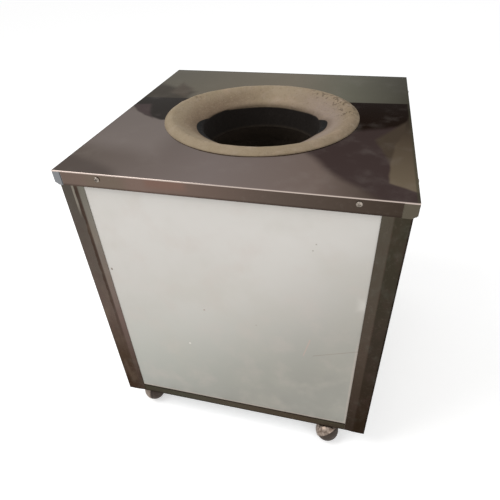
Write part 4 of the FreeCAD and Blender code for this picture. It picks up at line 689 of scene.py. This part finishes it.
def dress_mouldings():
    """Mouldings, paint, insulation, porcelain and lamps."""
    # Phenolic resin moulding: black with a soft gloss
    dress(grained("black_phenolic_moulding", "#222120", "#181716", {}, 1.2, 0.22, 0.34, 0.02),
          "thermostat", "switch", "cable_gland")
    dress(knob_resin(), "thermostat_knob")
    # Brushed-on black paint over angle iron: half dull, with lumps
    dress(grained("black_frame_paint", "#2b2a29", "#1d1c1b", {}, 3.0, 0.45, 0.60, 0.05), "angle_frame",
          "top_ring")
    # Loose mineral wool: matt, greenish fawn, rough as felt
    dress(grained("mineral_wool", "#a49a70", "#857b55", {"Specular IOR Level": 0.1}, 3.0, 0.95, 1.0, 1.5),
          "wool_fill")
    # Calcium silicate board: chalky and pale
    dress(grained("calcium_silicate_board", "#cfc9bb", "#b9b2a3", {"Specular IOR Level": 0.15}, 4.0, 0.90,
                  0.97, 0.3), "floor_board", "cover_board")
    # Glazed porcelain: white and glossy
    dress(grained("glazed_porcelain", "#e6e3da", "#d6d2c6", {}, 8.0, 0.12, 0.20, 0.02), "element_bushes",
          "terminal_block")
    dress(lens_plastic("red_lens_plastic", "#b3201a", "#7d1410"), "pilot_lamp_power")
    dress(lens_plastic("amber_lens_plastic", "#e08a1c", "#b0640e"), "pilot_lamp_heat")


# ---------------------------------------------------------------- studio
FLOOR_RADIUS = 60.0
# The floor lies a hair below the wheels, so that the two never share a plane
FLOOR_DROP = 0.0002
FLOOR_GLOW = 0.42
ROOM_LIGHT = 0.62
# Name, place, what it is aimed at, width in metres and power in watts of each lamp
LAMPS = (("key", (-1.7, -0.9, 2.7), (0, 0, 0.5), 1.8, 42), ("fill", (2.2, -2.4, 1.5), (0, 0, 0.4), 2.4, 14))
# The camera's place, and which way its right, its foot and its lens point
CAMERA_PLACE = (0.2059, -0.8795, 1.031)
CAMERA_RIGHT = Vector((0.97018506, 0.23949007, -0.03722158))
CAMERA_DOWN = Vector((0.11807898, -0.60117844, -0.79034286))
CAMERA_AHEAD = Vector((-0.21165608, 0.76238375, -0.61153309))
FOCAL_LENGTH = 31.303


def seen_ray(tree):
    """1 for what the camera, a mirror or a glass sees, and 0 for what lights the oven."""
    path = add_node(tree, "LightPath", {}).node.outputs
    mirrored = add_node(tree, "Math", {0: path["Is Glossy Ray"], 1: path["Is Transmission Ray"]},
                        operation="MAXIMUM")
    return add_node(tree, "Math", {0: path["Is Camera Ray"], 1: mirrored}, operation="MAXIMUM")


def lay_floor():
    """A wide pale floor that keeps the oven's shadow."""
    shape = bmesh.new()
    bmesh.ops.create_circle(shape, cap_ends=True, segments=96, radius=FLOOR_RADIUS)
    mesh = bpy.data.meshes.new("studio_floor")
    shape.to_mesh(mesh)
    shape.free()
    floor = bpy.data.objects.new("studio_floor", mesh)
    floor.location.z = -FLOOR_DROP
    scene.collection.objects.link(floor)
    material = bpy.data.materials.new("pale_floor")
    tree = empty_tree(material)
    paint = add_node(tree, "BsdfDiffuse", {"Color": "#f4f4f4"})
    glow = add_node(tree, "Emission", {"Strength": FLOOR_GLOW})
    lit = add_node(tree, "AddShader", {0: paint, 1: glow})
    mixed = add_node(tree, "MixShader", {0: seen_ray(tree), 1: paint, 2: lit})
    tree.links.new(mixed, tree.nodes.new("ShaderNodeOutputMaterial").inputs["Surface"])
    mesh.materials.append(material)


def light_studio():
    """Soft even room light, with a large overhead key from the left and a weak fill from the right."""
    world = bpy.data.worlds.new("studio_light")
    scene.world = world
    tree = empty_tree(world)
    strength = add_node(tree, "MapRange", {"Value": seen_ray(tree), "To Min": ROOM_LIGHT, "To Max": 1.0})
    glow = add_node(tree, "Background", {"Color": "#ffffff", "Strength": strength})
    tree.links.new(glow, tree.nodes.new("ShaderNodeOutputWorld").inputs["Surface"])
    for name, place, aim, size, power in LAMPS:
        lamp = bpy.data.lights.new(name, "AREA")
        lamp.shape = "DISK"
        lamp.size = size
        lamp.energy = power
        holder = bpy.data.objects.new(name, lamp)
        holder.location = place
        holder.rotation_mode = "QUATERNION"
        holder.rotation_quaternion = (Vector(aim) - Vector(place)).to_track_quat("-Z", "Y")
        scene.collection.objects.link(holder)


def place_camera():
    """The camera stands a little right of the middle, above the cover, and looks down at it."""
    lens = bpy.data.cameras.new("camera")
    lens.sensor_width = 36.0
    lens.lens = FOCAL_LENGTH
    lens.clip_start, lens.clip_end = 0.05, 200.0
    camera = bpy.data.objects.new("camera", lens)
    turn = Matrix((CAMERA_RIGHT, -CAMERA_DOWN, -CAMERA_AHEAD)).transposed().to_4x4()
    camera.matrix_world = Matrix.Translation(CAMERA_PLACE) @ turn
    scene.collection.objects.link(camera)
    scene.camera = camera


scene.view_settings.view_transform = "Standard"
place_camera()
light_studio()
lay_floor()
clay = fired_clay()
dress_outside(clay)
dress_mouldings()
dress_metal()
mouth_collar(clay)
